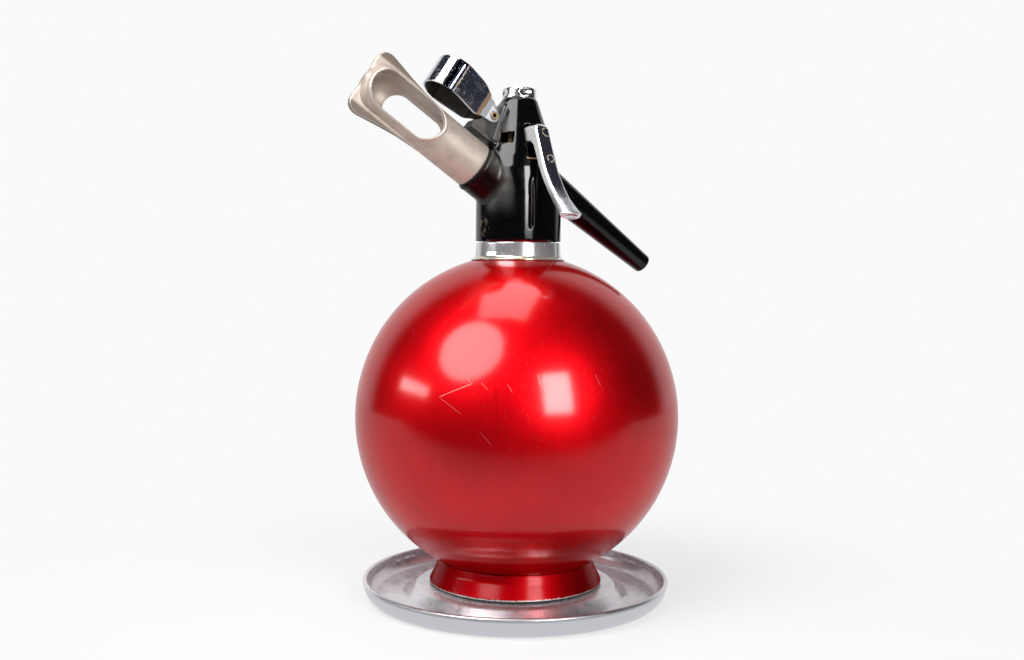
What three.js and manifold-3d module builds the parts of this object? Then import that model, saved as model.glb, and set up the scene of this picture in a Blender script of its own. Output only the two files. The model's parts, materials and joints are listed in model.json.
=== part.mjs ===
// Soda siphon: a round aluminium vessel on a foot and a drip tray, with a screw-on head that
// carries the squeeze lever, the spout, the charger holder and the hinged cover of the charger port.
// Millimetres, +Z up. The origin is on the vessel's axis, on the plane that the tray stands on.
// The spout points along +X, the charger holder along -X and the lever along -Y.
import * as THREE from 'three';
import { mergeVertices } from 'three/addons/utils/BufferGeometryUtils.js';
import Module from 'manifold-3d';

const wasm = await Module();
wasm.setup();

// Facets round the axis of large, middle and small turned pieces, and steps along an arc
const LARGE_FACETS = 36;
const MIDDLE_FACETS = 24;
const SMALL_FACETS = 12;
const ARC_STEPS = 6;

// Fits and cuts
const SEAT_GAP = 0.3; // between pieces that rest on each other
const PIVOT_GAP = 0.3; // round a pin in its hole
const LEVER_SIDE_GAP = 0.4;
const CUT_OVERRUN = 3;

// Drip tray
const TRAY_RIM_RADIUS = 83.2;
const TRAY_RIM_HEIGHT = 11.2;
const TRAY_BASE_RADIUS = 74.9;
const TRAY_SEAT_RADIUS = 53;
const TRAY_SEAT_HEIGHT = 7.9;
const TRAY_CHANNEL_WIDTH = 14;
const TRAY_SHEET = 1.2;
const TRAY_BEAD_RADIUS = 1.2;

// Foot ring and its rubber edge
const BUMPER_HEIGHT = 0.6;
const BUMPER_WIDTH = 1.9;
const BUMPER_INSET = 0.5;
const FOOT_BASE_RADIUS = 47;
const FOOT_TOP_RADIUS = 42.4;
const FOOT_RIM_GAP = 0.69; // from the foot's top up to the globe at the foot's top radius
const FOOT_WALL = 1.7;
const FOOT_SEAT_DEPTH = 1.6;

// Vessel
const GLOBE_RADIUS = 87.5;
const GLOBE_HALF_HEIGHT = 88.55;
const GLOBE_WALL = 1.6;
const FOOT_REACH = 2.5; // how far the foot hangs below the bottom of the globe, less its seat
const NECK_RADIUS = 17;
const NECK_BORE_RADIUS = 14.4;
const NECK_HEIGHT = 20.2; // above the shoulder of the globe at the neck
const THREAD_RADIUS = 17.9;
const THREAD_PITCH = 3.6;
const THREAD_WIDTH = 1.8;
const THREAD_TURNS = 3;

// Chrome ring round the neck
const RING_LIP_RADIUS = 26;
const RING_WAIST_RADIUS = 22.8;
const RING_TOP_RADIUS = 21.7;
const RING_HEIGHT = 9.2;
const RING_LIP_HEIGHT = 0.7;
const RING_WAIST_HEIGHT = 1.7;
const RING_EDGE = 0.5;

// Head casing
const HEAD_RING_GAP = 1.6;
const HEAD_RADIUS = 23.1;
const HEAD_COLLAR_HEIGHT = 34.7;
const HEAD_CONE_HEIGHT = 42.5;
const HEAD_TOP_RADIUS = 9.1;
const HEAD_BLEND = 3.5;
const HEAD_BLEND_SHARE = 0.25; // how far the shoulder's middle gives way from the collar to the cone
const HEAD_EDGE = 0.6;
const HEAD_WALL = 2.6;
const HEAD_TOP_WALL = 6.2;

// Dip tube and the seal under the head
const SEAL_THICKNESS = 1.3;
const SEAL_WIDTH = 2.6;
const TUBE_RADIUS = 3;
const TUBE_BORE_RADIUS = 2;
const TUBE_FLANGE_RADIUS = 16.4;
const TUBE_FLANGE_THICKNESS = 1.2;
const TUBE_END_CLEARANCE = 4;
const TUBE_SOCKET_LENGTH = 6;
const STRAINER_RADIUS = 5;
const STRAINER_LENGTH = 7;
const STRAINER_LAP = 5;
const STRAINER_EDGE = 0.6;

// Valve body inside the head
const SKIRT_WALL = 1.7;
const BODY_PLATE = 3;
const COLUMN_RADIUS = 9.6;
const DECK_RADIUS = 15.4;
const DECK_THICKNESS = 3.6;
const DECK_HEIGHT = 27.6; // from the underside of the plate to the top of the deck
const INLET_RADIUS = 2.6;
const INLET_HEIGHT = 14.5;
const ORIFICE_RADIUS = 1.7;
const ORIFICE_HEIGHT = 2;
const CHAMBER_RADIUS = 4.5;

// Valve parts
const VALVE_SEAT_HEIGHT = 1.2;
const VALVE_SEAT_BORE_RADIUS = 2;
const VALVE_WASHER_RADIUS = 3.9;
const VALVE_WASHER_HEIGHT = 1.5;
const STEM_RADIUS = 1;
const STEM_DISC_RADIUS = 3.8;
const STEM_DISC_HEIGHT = 1;
const STEM_COLLAR_RADIUS = 3.4;
const STEM_COLLAR_HEIGHT = 1.4;
const SPRING_RADIUS = 3.7;
const SPRING_WALL = 1.1;
const GLAND_FLANGE_RADIUS = 6;
const GLAND_FLANGE_HEIGHT = 2.4;
const GLAND_PLUG_HEIGHT = 1.6;

// Top cap
const TOP_CAP_RADIUS = 8.55;
const TOP_CAP_CROWN_RADIUS = 8;
const TOP_CAP_HEIGHT = 4.9;
const TOP_CAP_EDGE = 0.7;
const TOP_CAP_STUD_RADIUS = 3.2;
const TOP_CAP_STUD_LENGTH = 8.5;
const TOP_CAP_FLUTES = 6;
const TOP_CAP_FLUTE_RADIUS = 4.2;
const TOP_CAP_FLUTE_DEPTH = 1.1;

// Spout
const SPOUT_TILT = 33.7; // degrees below level
const SPOUT_AXIS_HEIGHT = 42.9; // where it crosses the head's axis, above the head's base
const SPOUT_LENGTH = 99; // from that crossing to the open end
const SPOUT_ROOT_DISTANCE = 19.5;
const SPOUT_ROOT_RADIUS = 9.1;
const SPOUT_END_RADIUS = 5.4;
const SPOUT_WALL = 1.7;
const SPOUT_BORE_RADIUS = 1.9;
const SPOUT_MOUTH_DEPTH = 3;
const SPOUT_NIPPLE_RADIUS = 3.2;
const SPOUT_NIPPLE_LENGTH = 11;
const SPOUT_EDGE = 0.6;

// Charger port on the head
const HOLDER_TILT = 33.7; // degrees above level
const HOLDER_AXIS_HEIGHT = 20; // where it crosses the head's axis, above the head's base
const PORT_RADIUS = 13.3;
const PORT_DISTANCE = 31.6; // from the crossing to the end of the port
const PORT_EDGE = 0.5;
const INSERT_RADIUS = 10.7;
const INSERT_DISTANCE = 14;
const INSERT_RECESS = 0.8;
const NIPPLE_RADIUS = 9.1;
const NIPPLE_LENGTH = 9.4;
const NIPPLE_BORE_RADIUS = 5.2;
const NIPPLE_BORE_DEPTH = 15;
const PIN_RADIUS = 0.9;
const PIN_LENGTH = 11;
const PIN_POINT = 2.4;
const PIN_REACH = 5;
const CHARGER_SEAL_THICKNESS = 1.8;
const GASKET_THICKNESS = 0.6;
const GASKET_RADIUS = 12.2;

// Charger holder: a standard charger is 18.4 mm across and 65.5 mm long
const CHARGER_RADIUS = 9.2;
const CHARGER_PLAY = 0.5;
const HOLDER_RADIUS = 12.5;
const HOLDER_LENGTH = 75.4;
const HOLDER_END_WALL = 4.6;
const HOLDER_EDGE = 0.9;
const WINDOW_START = 28.2; // from the open end of the holder
const WINDOW_LENGTH = 41.6;
const WINDOW_HALF_WIDTH = 9.2;
const BACK_WINDOW_START = 22.5;
const BACK_WINDOW_LENGTH = 36;
const BACK_WINDOW_HALF_WIDTH = 8.8;
const WING_THICKNESS = 3.2;
const WING_RADIUS = 18.3;

// Bracket of the port cover, on the head
const COVER_PIN_DISTANCE = 40; // along the holder's axis from the crossing
const COVER_PIN_OFFSET = 27; // square to that axis
const WEB_THICKNESS = 8.8;
const WEB_BOSS_RADIUS = 3.5;
const WEB_BOSS_START = 60; // degrees from +X round to where the boss's edge starts
const WEB_CROWN_DROP = 1.8; // from the head's top down to the web's top
const WEB_BACK_DROP = 5.6; // from the pin down to the corner of the web's back
const WEB_TAIL = 7.6;
const WEB_TAIL_HEIGHT = 2.6;
const RAIL_OFFSET = 14.2;
const RAIL_THICKNESS = 2;
const RAIL_HALF_WIDTH = 6.3;

// Port cover
const COVER_RADIUS = 12.6;
const COVER_REACH = 27.2; // from the pin to the middle of the round end
const COVER_SHEET = 1.1;
const COVER_MOUTH_DROP = 7.2;
const COVER_RISE = 10.6;
const COVER_EAR_RADIUS = 3.9;
const COVER_EAR_START = 130; // degrees round the pin, from the holder's direction
const COVER_EAR_STOP = 250;
const COVER_EAR_GAP = 0.5;
const COVER_EDGE = 1.1;
const COVER_PIN_RADIUS = 1.7;
const COVER_PIN_BORE_RADIUS = 0.8;
const COVER_PIN_HEAD_RADIUS = 2.4;
const COVER_PIN_HEAD = 0.6;

// Lever
const LEVER_HALF_WIDTH = 3.9;
const LEVER_TOE_HALF_WIDTH = 5.6;
const LEVER_TOE_FLARE = 13;
const LEVER_REACH = 57.6; // the toe's outer edge from the head's axis
const LEVER_DROP = 44.2; // from the pivot down to the toe's outer edge
const LEVER_PIVOT_DISTANCE = 13.4;
const LEVER_PIVOT_HEIGHT = 55.8; // above the head's base
const LEVER_PIN_RADIUS = 1.1;
const LEVER_ARM_HEIGHT = 2.4;
const LEVER_ARM_REACH = 14.8; // from the pivot past the stem
const LEVER_FORK_HALF_WIDTH = 1.6;
const LEVER_SHOULDER = 4.2; // the lever's top above its pivot
const LEVER_THICKNESS = 3.4;
const LEVER_TOE_THICKNESS = 3.1;
const POCKET_DEPTH = 18.3; // from the pocket's roof to its sill
const POCKET_SILL_HALF_WIDTH = 5.6;
const GROOVE_WIDTH = 2.1;
const GROOVE_DEPTH = 1.5;
const GROOVE_LENGTH = 37;
const GROOVE_OFFSET = 4.6;

// Relief valve behind its window
const RELIEF_ANGLE = -142.3; // degrees round the axis from +X
const RELIEF_DISTANCE = 9.6;
const RELIEF_RADIUS = 2.5;
const RELIEF_HEIGHT = 14;
const RELIEF_BASE_RADIUS = 3.1;
const RELIEF_BASE_HEIGHT = 2;
const RELIEF_WINDOW_WIDTH = 8.2;
const RELIEF_WINDOW_HEIGHT = 5.6;
const RELIEF_WINDOW_RISE = 54.6; // its middle above the head's base

// Heights that follow from the sizes
const BUMPER_BASE = TRAY_SEAT_HEIGHT + SEAT_GAP;
const FOOT_BASE = BUMPER_BASE + BUMPER_HEIGHT + SEAT_GAP;
const GLOBE_BASE = FOOT_BASE + FOOT_REACH - FOOT_WALL + SEAT_GAP * 2;
const GLOBE_CENTRE = GLOBE_BASE + GLOBE_HALF_HEIGHT;
const FOOT_TOP = globeUndersideAt(FOOT_TOP_RADIUS, 0) - FOOT_RIM_GAP;
const SHOULDER = globeHeightAt(NECK_RADIUS, 0);
const NECK_TOP = SHOULDER + NECK_HEIGHT;
const RING_BASE = globeHeightAt(RING_LIP_RADIUS, SEAT_GAP);
const RING_TOP = RING_BASE + RING_HEIGHT;
const HEAD_BASE = RING_TOP + HEAD_RING_GAP;
const HEAD_SHOULDER = HEAD_BASE + HEAD_COLLAR_HEIGHT;
const HEAD_TOP = HEAD_SHOULDER + HEAD_CONE_HEIGHT;
const HEAD_BORE_RADIUS = HEAD_RADIUS - HEAD_WALL;
const SEAL_BASE = NECK_TOP + SEAT_GAP;
const FLANGE_BASE = SEAL_BASE + SEAL_THICKNESS + SEAT_GAP;
const PLATE_BASE = FLANGE_BASE + TUBE_FLANGE_THICKNESS + SEAT_GAP;
const DECK_TOP = PLATE_BASE + DECK_HEIGHT;
const TUBE_BASE = GLOBE_BASE + GLOBE_WALL + TUBE_END_CLEARANCE;
const ORIFICE_TOP = PLATE_BASE + INLET_HEIGHT + ORIFICE_HEIGHT;
const SEAT_BASE = ORIFICE_TOP + SEAT_GAP;
const WASHER_BASE = SEAT_BASE + VALVE_SEAT_HEIGHT + SEAT_GAP;
const DISC_BASE = WASHER_BASE + VALVE_WASHER_HEIGHT + SEAT_GAP;
const SPRING_BASE = DISC_BASE + STEM_DISC_HEIGHT + SEAT_GAP;
const GLAND_BASE = DECK_TOP + SEAT_GAP;
const GLAND_PLUG_BASE = GLAND_BASE - GLAND_PLUG_HEIGHT;
const LEVER_PIVOT_Z = HEAD_BASE + LEVER_PIVOT_HEIGHT;
const ARM_TOP = LEVER_PIVOT_Z + LEVER_ARM_HEIGHT / 2;
const COLLAR_BASE = ARM_TOP + SEAT_GAP;
const POCKET_ROOF = LEVER_PIVOT_Z + LEVER_SHOULDER + SEAT_GAP * 2;
const POCKET_SILL = POCKET_ROOF - POCKET_DEPTH;
const HOLDER_START = PORT_DISTANCE + GASKET_THICKNESS + SEAT_GAP * 2;

// Finishes
const finish = (color, roughness, metalness) =>
  new THREE.MeshStandardMaterial({ color, roughness, metalness });
const RED_ALUMINIUM = finish(0xa80f14, 0.32, 0.9);
const CHROME = finish(0xd4d6da, 0.12, 1);
const BLACK_MOULDING = finish(0x0b0b0c, 0.18, 0);
const CAST_ALLOY = finish(0xa08c7e, 0.5, 0.8);
const BRASS = finish(0xb08a45, 0.35, 1);
const STEEL = finish(0xb8babd, 0.3, 1);
const RUBBER = finish(0x161616, 0.8, 0);
const CLEAR_PLASTIC = finish(0xd9d8d0, 0.45, 0);

/** Radius of the globe at a height, on a surface set out from it by a distance. */
function globeRadiusAt(height, out) {
  const rise = (height - GLOBE_CENTRE) / (GLOBE_HALF_HEIGHT + out);
  return (GLOBE_RADIUS + out) * Math.sqrt(1 - rise * rise);
}

/** Height of the upper half of the globe at a radius, on a surface set out from it. */
function globeHeightAt(radius, out) {
  const across = radius / (GLOBE_RADIUS + out);
  return GLOBE_CENTRE + (GLOBE_HALF_HEIGHT + out) * Math.sqrt(1 - across * across);
}

/** Height of the lower half of the globe at a radius, on a surface set out from it. */
function globeUndersideAt(radius, out) {
  return 2 * GLOBE_CENTRE - globeHeightAt(radius, out);
}

/** Outer radius of the head casing's cone at a height. */
function coneRadiusAt(height) {
  return HEAD_TOP_RADIUS + ((HEAD_RADIUS - HEAD_TOP_RADIUS) * (HEAD_TOP - height)) / HEAD_CONE_HEIGHT;
}

/** Points on an arc round a centre, from one angle to another in degrees. */
function arc(centreX, centreY, radiusX, radiusY, from, to, steps = ARC_STEPS) {
  return Array.from({ length: steps + 1 }, (unused, step) => {
    const angle = THREE.MathUtils.degToRad(from + ((to - from) * step) / steps);
    return [centreX + radiusX * Math.cos(angle), centreY + radiusY * Math.sin(angle)];
  });
}

/** A closed solid of a geometry: its corners are merged and its faces turned outwards. */
function solid(geometry) {
  const bare = geometry.index ? geometry.toNonIndexed() : geometry.clone();
  bare.deleteAttribute('normal');
  bare.deleteAttribute('uv');
  const merged = mergeVertices(bare);
  const points = merged.attributes.position.array;
  const index = merged.index.array;
  const corner = (at) => new THREE.Vector3(points[3 * at], points[3 * at + 1], points[3 * at + 2]);
  const kept = [];
  let volume = 0;
  for (let at = 0; at < index.length; at += 3) {
    const [a, b, c] = [index[at], index[at + 1], index[at + 2]];
    if (a === b || b === c || c === a) continue;
    kept.push(a, b, c);
    volume += corner(a).dot(corner(b).cross(corner(c)));
  }
  if (volume < 0) kept.reverse();
  const vertProperties = Float32Array.from(points);
  return new wasm.Manifold(new wasm.Mesh({ numProp: 3, vertProperties, triVerts: Uint32Array.from(kept) }));
}

/** A turned solid about Z from [radius, height] points that close on the axis or on themselves. */
function turned(profile, facets, closes) {
  const points = profile.map(([radius, height]) => new THREE.Vector2(radius, height));
  if (closes) points.push(points[0].clone());
  return new THREE.LatheGeometry(points, facets).rotateX(Math.PI / 2);
}

/** A turned ring or tube: its profile closes on itself. */
function ring(profile, facets = MIDDLE_FACETS) {
  return turned(profile, facets, true);
}

/** A turned solid whose profile starts and ends on the axis. */
function spindle(profile, facets = MIDDLE_FACETS) {
  return turned(profile, facets, false);
}

/** A plain disc or rod about Z between two heights. */
function rod(radius, from, to, facets = MIDDLE_FACETS) {
  return spindle([[0, from], [radius, from], [radius, to], [0, to]], facets);
}

/** A plain tube about Z between two heights. */
function tube(radius, bore, from, to, facets = MIDDLE_FACETS) {
  return ring([[bore, from], [radius, from], [radius, to], [bore, to]], facets);
}

/** A prism of an [x, y] outline along Z, from one height to another. */
function prism(outline, from, to) {
  const shape = new THREE.Shape(outline.map(([x, y]) => new THREE.Vector2(x, y)));
  return new THREE.ExtrudeGeometry(shape, { depth: to - from, bevelEnabled: false }).translate(0, 0, from);
}

/** A prism of an [along, up] outline in the upright plane of X and Z, centred on Y. */
function uprightPrism(outline, halfWidth) {
  return prism(outline, -halfWidth, halfWidth).rotateX(Math.PI / 2);
}

/** A block between two corners. */
function block(low, high) {
  const size = high.map((value, axis) => value - low[axis]);
  const middle = high.map((value, axis) => (value + low[axis]) / 2);
  return new THREE.BoxGeometry(...size).translate(...middle);
}

/** A named mesh of a solid, in a frame. */
function piece(name, body, material, frame = new THREE.Matrix4()) {
  const { vertProperties, triVerts } = body.getMesh();
  const geometry = new THREE.BufferGeometry();
  geometry.setAttribute('position', new THREE.BufferAttribute(Float32Array.from(vertProperties), 3));
  geometry.setIndex(new THREE.BufferAttribute(Uint32Array.from(triVerts), 1));
  geometry.computeVertexNormals();
  const mesh = new THREE.Mesh(geometry, material);
  mesh.name = name;
  mesh.applyMatrix4(frame);
  return mesh;
}

/** A frame on the head's axis whose Z leans from the upright towards -X or +X. */
function leaningFrame(height, degreesFromUp) {
  return new THREE.Matrix4()
    .makeTranslation(0, 0, height)
    .multiply(new THREE.Matrix4().makeRotationY(THREE.MathUtils.degToRad(degreesFromUp)));
}

// In the holder's frame Z runs out along the holder, X is square to it and up, and Y is the object's Y
const HOLDER_FRAME = leaningFrame(HEAD_BASE + HOLDER_AXIS_HEIGHT, HOLDER_TILT - 90);
const SPOUT_FRAME = leaningFrame(HEAD_BASE + SPOUT_AXIS_HEIGHT, SPOUT_TILT + 90);

function dripTray() {
  const beadMiddle = TRAY_RIM_RADIUS - TRAY_BEAD_RADIUS;
  const wallTop = TRAY_RIM_HEIGHT - 2 * TRAY_BEAD_RADIUS;
  const half = TRAY_SHEET / 2;
  const wall = (side, foot) => {
    const across = beadMiddle + side - TRAY_BASE_RADIUS;
    return arc(TRAY_BASE_RADIUS, wallTop, across, wallTop - foot, -90, 0, ARC_STEPS / 2);
  };
  const slack = THREE.MathUtils.radToDeg(Math.acos(half / TRAY_BEAD_RADIUS));
  const beadHeight = TRAY_RIM_HEIGHT - TRAY_BEAD_RADIUS;
  const bead = arc(beadMiddle, beadHeight, TRAY_BEAD_RADIUS, TRAY_BEAD_RADIUS, -slack, 180 + slack);
  const channel = TRAY_SEAT_RADIUS + TRAY_CHANNEL_WIDTH / 2;
  return solid(
    spindle(
      [
        [0, TRAY_SEAT_HEIGHT - TRAY_SHEET],
        [TRAY_SEAT_RADIUS - half, TRAY_SEAT_HEIGHT - TRAY_SHEET],
        [channel - half, 0],
        ...wall(half, 0),
        ...bead,
        ...wall(-half, TRAY_SHEET).reverse(),
        [channel + half, TRAY_SHEET],
        [TRAY_SEAT_RADIUS + half, TRAY_SEAT_HEIGHT],
        [0, TRAY_SEAT_HEIGHT],
      ],
      LARGE_FACETS
    )
  );
}

function footBumper() {
  const outer = FOOT_BASE_RADIUS - BUMPER_INSET;
  return solid(tube(outer, outer - BUMPER_WIDTH, BUMPER_BASE, BUMPER_BASE + BUMPER_HEIGHT, LARGE_FACETS));
}

function footRing() {
  const seat = FOOT_TOP - FOOT_SEAT_DEPTH;
  const underSeat = seat - FOOT_WALL;
  const innerTop = FOOT_TOP_RADIUS - FOOT_WALL;
  const seatInner = globeRadiusAt(seat, SEAT_GAP);
  return solid(
    ring(
      [
        [FOOT_BASE_RADIUS, FOOT_BASE],
        [FOOT_TOP_RADIUS, FOOT_TOP - FOOT_WALL / 2],
        [Math.max(FOOT_TOP_RADIUS - FOOT_WALL / 2, globeRadiusAt(FOOT_TOP, SEAT_GAP)), FOOT_TOP],
        [globeRadiusAt(FOOT_TOP, SEAT_GAP), FOOT_TOP],
        [seatInner, seat],
        [Math.min(seatInner, innerTop), underSeat],
        [innerTop, underSeat],
        [FOOT_BASE_RADIUS - FOOT_WALL, FOOT_BASE],
      ],
      LARGE_FACETS
    )
  );
}

function globe() {
  const outerStop = THREE.MathUtils.radToDeg(Math.acos(NECK_RADIUS / GLOBE_RADIUS));
  const innerRadius = GLOBE_RADIUS - GLOBE_WALL;
  const innerHalfHeight = GLOBE_HALF_HEIGHT - GLOBE_WALL;
  const innerStop = THREE.MathUtils.radToDeg(Math.acos(NECK_BORE_RADIUS / innerRadius));
  const threads = Array.from({ length: THREAD_TURNS }, (unused, turn) => {
    const base = NECK_TOP - THREAD_PITCH * (THREAD_TURNS - turn);
    return [
      [NECK_RADIUS, base - THREAD_WIDTH / 2],
      [THREAD_RADIUS, base],
      [NECK_RADIUS, base + THREAD_WIDTH / 2],
    ];
  }).flat();
  return solid(
    spindle(
      [
        ...arc(0, GLOBE_CENTRE, GLOBE_RADIUS, GLOBE_HALF_HEIGHT, -90, 0, ARC_STEPS * 1.5),
        ...arc(0, GLOBE_CENTRE, GLOBE_RADIUS, GLOBE_HALF_HEIGHT, 0, outerStop, ARC_STEPS * 1.5).slice(1),
        ...threads,
        [NECK_RADIUS, NECK_TOP],
        [NECK_BORE_RADIUS, NECK_TOP],
        ...arc(0, GLOBE_CENTRE, innerRadius, innerHalfHeight, innerStop, -90, ARC_STEPS * 2),
      ],
      LARGE_FACETS
    )
  );
}

function neckRing() {
  const bore = NECK_RADIUS + SEAT_GAP;
  const under = [0, 1, 2].map((step) => {
    const radius = bore + ((RING_LIP_RADIUS - bore) * step) / 2;
    return [radius, globeHeightAt(radius, SEAT_GAP)];
  });
  return solid(
    ring(
      [
        ...under,
        [RING_LIP_RADIUS, RING_BASE + RING_LIP_HEIGHT],
        [RING_WAIST_RADIUS, RING_BASE + RING_WAIST_HEIGHT],
        [RING_TOP_RADIUS, RING_TOP - RING_EDGE],
        [RING_TOP_RADIUS - RING_EDGE, RING_TOP],
        [bore, RING_TOP],
      ],
      LARGE_FACETS
    )
  );
}

function headSeal() {
  return solid(tube(NECK_RADIUS, NECK_RADIUS - SEAL_WIDTH, SEAL_BASE, SEAL_BASE + SEAL_THICKNESS));
}

function dipTube() {
  const flangeTop = FLANGE_BASE + TUBE_FLANGE_THICKNESS;
  return solid(
    ring(
      [
        [TUBE_BORE_RADIUS, TUBE_BASE],
        [TUBE_RADIUS, TUBE_BASE],
        [TUBE_RADIUS, FLANGE_BASE],
        [TUBE_FLANGE_RADIUS, FLANGE_BASE],
        [TUBE_FLANGE_RADIUS, flangeTop],
        [TUBE_BORE_RADIUS, flangeTop],
      ],
      SMALL_FACETS
    )
  );
}

function strainer() {
  const bore = TUBE_RADIUS + SEAT_GAP;
  const top = TUBE_BASE + STRAINER_LAP;
  return solid(
    ring(
      [
        [bore, top],
        [bore, TUBE_BASE - SEAT_GAP],
        [TUBE_BORE_RADIUS, TUBE_BASE - SEAT_GAP],
        [TUBE_BORE_RADIUS, top - STRAINER_LENGTH],
        [STRAINER_RADIUS - STRAINER_EDGE, top - STRAINER_LENGTH],
        [STRAINER_RADIUS, TUBE_BASE],
        [STRAINER_RADIUS, top],
      ],
      SMALL_FACETS
    )
  );
}

/** The clearance that a leaning round piece needs in what holds it. */
function leaningBore(frame, radius, from, to, facets = MIDDLE_FACETS) {
  return solid(rod(radius, from, to, facets).applyMatrix4(frame));
}

function valveBody() {
  const skirtRadius = HEAD_BORE_RADIUS - SEAT_GAP;
  const bore = skirtRadius - SKIRT_WALL;
  const plateTop = PLATE_BASE + BODY_PLATE;
  const deckBase = DECK_TOP - DECK_THICKNESS;
  const inletTop = PLATE_BASE + INLET_HEIGHT;
  const turnedBody = solid(
    ring([
      [INLET_RADIUS, PLATE_BASE],
      [bore, PLATE_BASE],
      [bore, HEAD_BASE],
      [skirtRadius, HEAD_BASE],
      [skirtRadius, plateTop],
      [COLUMN_RADIUS, plateTop],
      [COLUMN_RADIUS, deckBase],
      [DECK_RADIUS, deckBase],
      [DECK_RADIUS, DECK_TOP],
      [CHAMBER_RADIUS, DECK_TOP],
      [CHAMBER_RADIUS, ORIFICE_TOP],
      [ORIFICE_RADIUS, ORIFICE_TOP],
      [ORIFICE_RADIUS, inletTop],
      [INLET_RADIUS, inletTop],
    ])
  );
  const spoutSocket = leaningBore(
    SPOUT_FRAME,
    SPOUT_NIPPLE_RADIUS + SEAT_GAP,
    SPOUT_ROOT_DISTANCE - SPOUT_NIPPLE_LENGTH - SEAT_GAP,
    SPOUT_LENGTH,
    SMALL_FACETS
  );
  const waterWay = leaningBore(SPOUT_FRAME, SPOUT_BORE_RADIUS, 0, SPOUT_ROOT_DISTANCE, SMALL_FACETS);
  const insertFit = INSERT_RADIUS + SEAT_GAP;
  const insertSeat = leaningBore(HOLDER_FRAME, insertFit, INSERT_DISTANCE - SEAT_GAP, PORT_DISTANCE * 2);
  const pinFit = PIN_RADIUS + SEAT_GAP;
  const gasWay = leaningBore(HOLDER_FRAME, pinFit, COLUMN_RADIUS / 2, INSERT_DISTANCE, SMALL_FACETS);
  return [spoutSocket, waterWay, insertSeat, gasWay].reduce((body, cut) => body.subtract(cut), turnedBody);
}

function valveSeat() {
  const outer = CHAMBER_RADIUS - SEAT_GAP;
  return solid(tube(outer, VALVE_SEAT_BORE_RADIUS, SEAT_BASE, SEAT_BASE + VALVE_SEAT_HEIGHT, SMALL_FACETS));
}

function valveWasher() {
  const bore = STEM_RADIUS + SEAT_GAP;
  const top = WASHER_BASE + VALVE_WASHER_HEIGHT;
  return solid(tube(VALVE_WASHER_RADIUS, bore, WASHER_BASE, top, SMALL_FACETS));
}

function valveStem() {
  const discTop = DISC_BASE + STEM_DISC_HEIGHT;
  const collarTop = COLLAR_BASE + STEM_COLLAR_HEIGHT;
  return solid(
    spindle(
      [
        [0, WASHER_BASE],
        [STEM_RADIUS, WASHER_BASE],
        [STEM_RADIUS, DISC_BASE],
        [STEM_DISC_RADIUS, DISC_BASE],
        [STEM_DISC_RADIUS, discTop],
        [STEM_RADIUS, discTop],
        [STEM_RADIUS, COLLAR_BASE],
        [STEM_COLLAR_RADIUS, COLLAR_BASE],
        [STEM_COLLAR_RADIUS, collarTop],
        [0, collarTop],
      ],
      SMALL_FACETS
    )
  );
}

function valveSpring() {
  const top = GLAND_PLUG_BASE - SEAT_GAP;
  return solid(tube(SPRING_RADIUS, SPRING_RADIUS - SPRING_WALL, SPRING_BASE, top, SMALL_FACETS));
}

function valveGland() {
  const bore = STEM_RADIUS + SEAT_GAP;
  const plugRadius = CHAMBER_RADIUS - SEAT_GAP;
  const top = GLAND_BASE + GLAND_FLANGE_HEIGHT;
  return solid(
    ring(
      [
        [bore, GLAND_PLUG_BASE],
        [plugRadius, GLAND_PLUG_BASE],
        [plugRadius, GLAND_BASE],
        [GLAND_FLANGE_RADIUS, GLAND_BASE],
        [GLAND_FLANGE_RADIUS, top],
        [bore, top],
      ],
      SMALL_FACETS
    )
  );
}

/** The lever's top round its pivot in [out, up] from the pivot, as shares of the shoulder's height. */
const LEVER_TOP_SHARES = [[-0.5, 0.75], [1 / 3, 1], [2, 11 / 12]];

/** The lever's cheek below its pivot in [out, up] from the pivot, as shares of the shoulder's height. */
const LEVER_CHEEK_SHARES = [[1.3, -1.35], [0, -1.35], [-0.8, -0.85]];

/** How far in from the pivot the lever's arm starts, as a share of the shoulder's height. */
const LEVER_ARM_SHARE = 1.2;

/** The lever's outer back from its shoulder to its toe, as shares of the way out and down. */
const LEVER_BACK_SHARES = [
  [0.2, 0.045], [0.262, 0.03], [0.293, -0.03], [0.325, -0.1], [0.39, -0.23],
  [0.456, -0.37], [0.53, -0.505], [0.655, -0.675], [0.78, -0.815], [0.894, -0.915], [1, -1],
];

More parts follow.
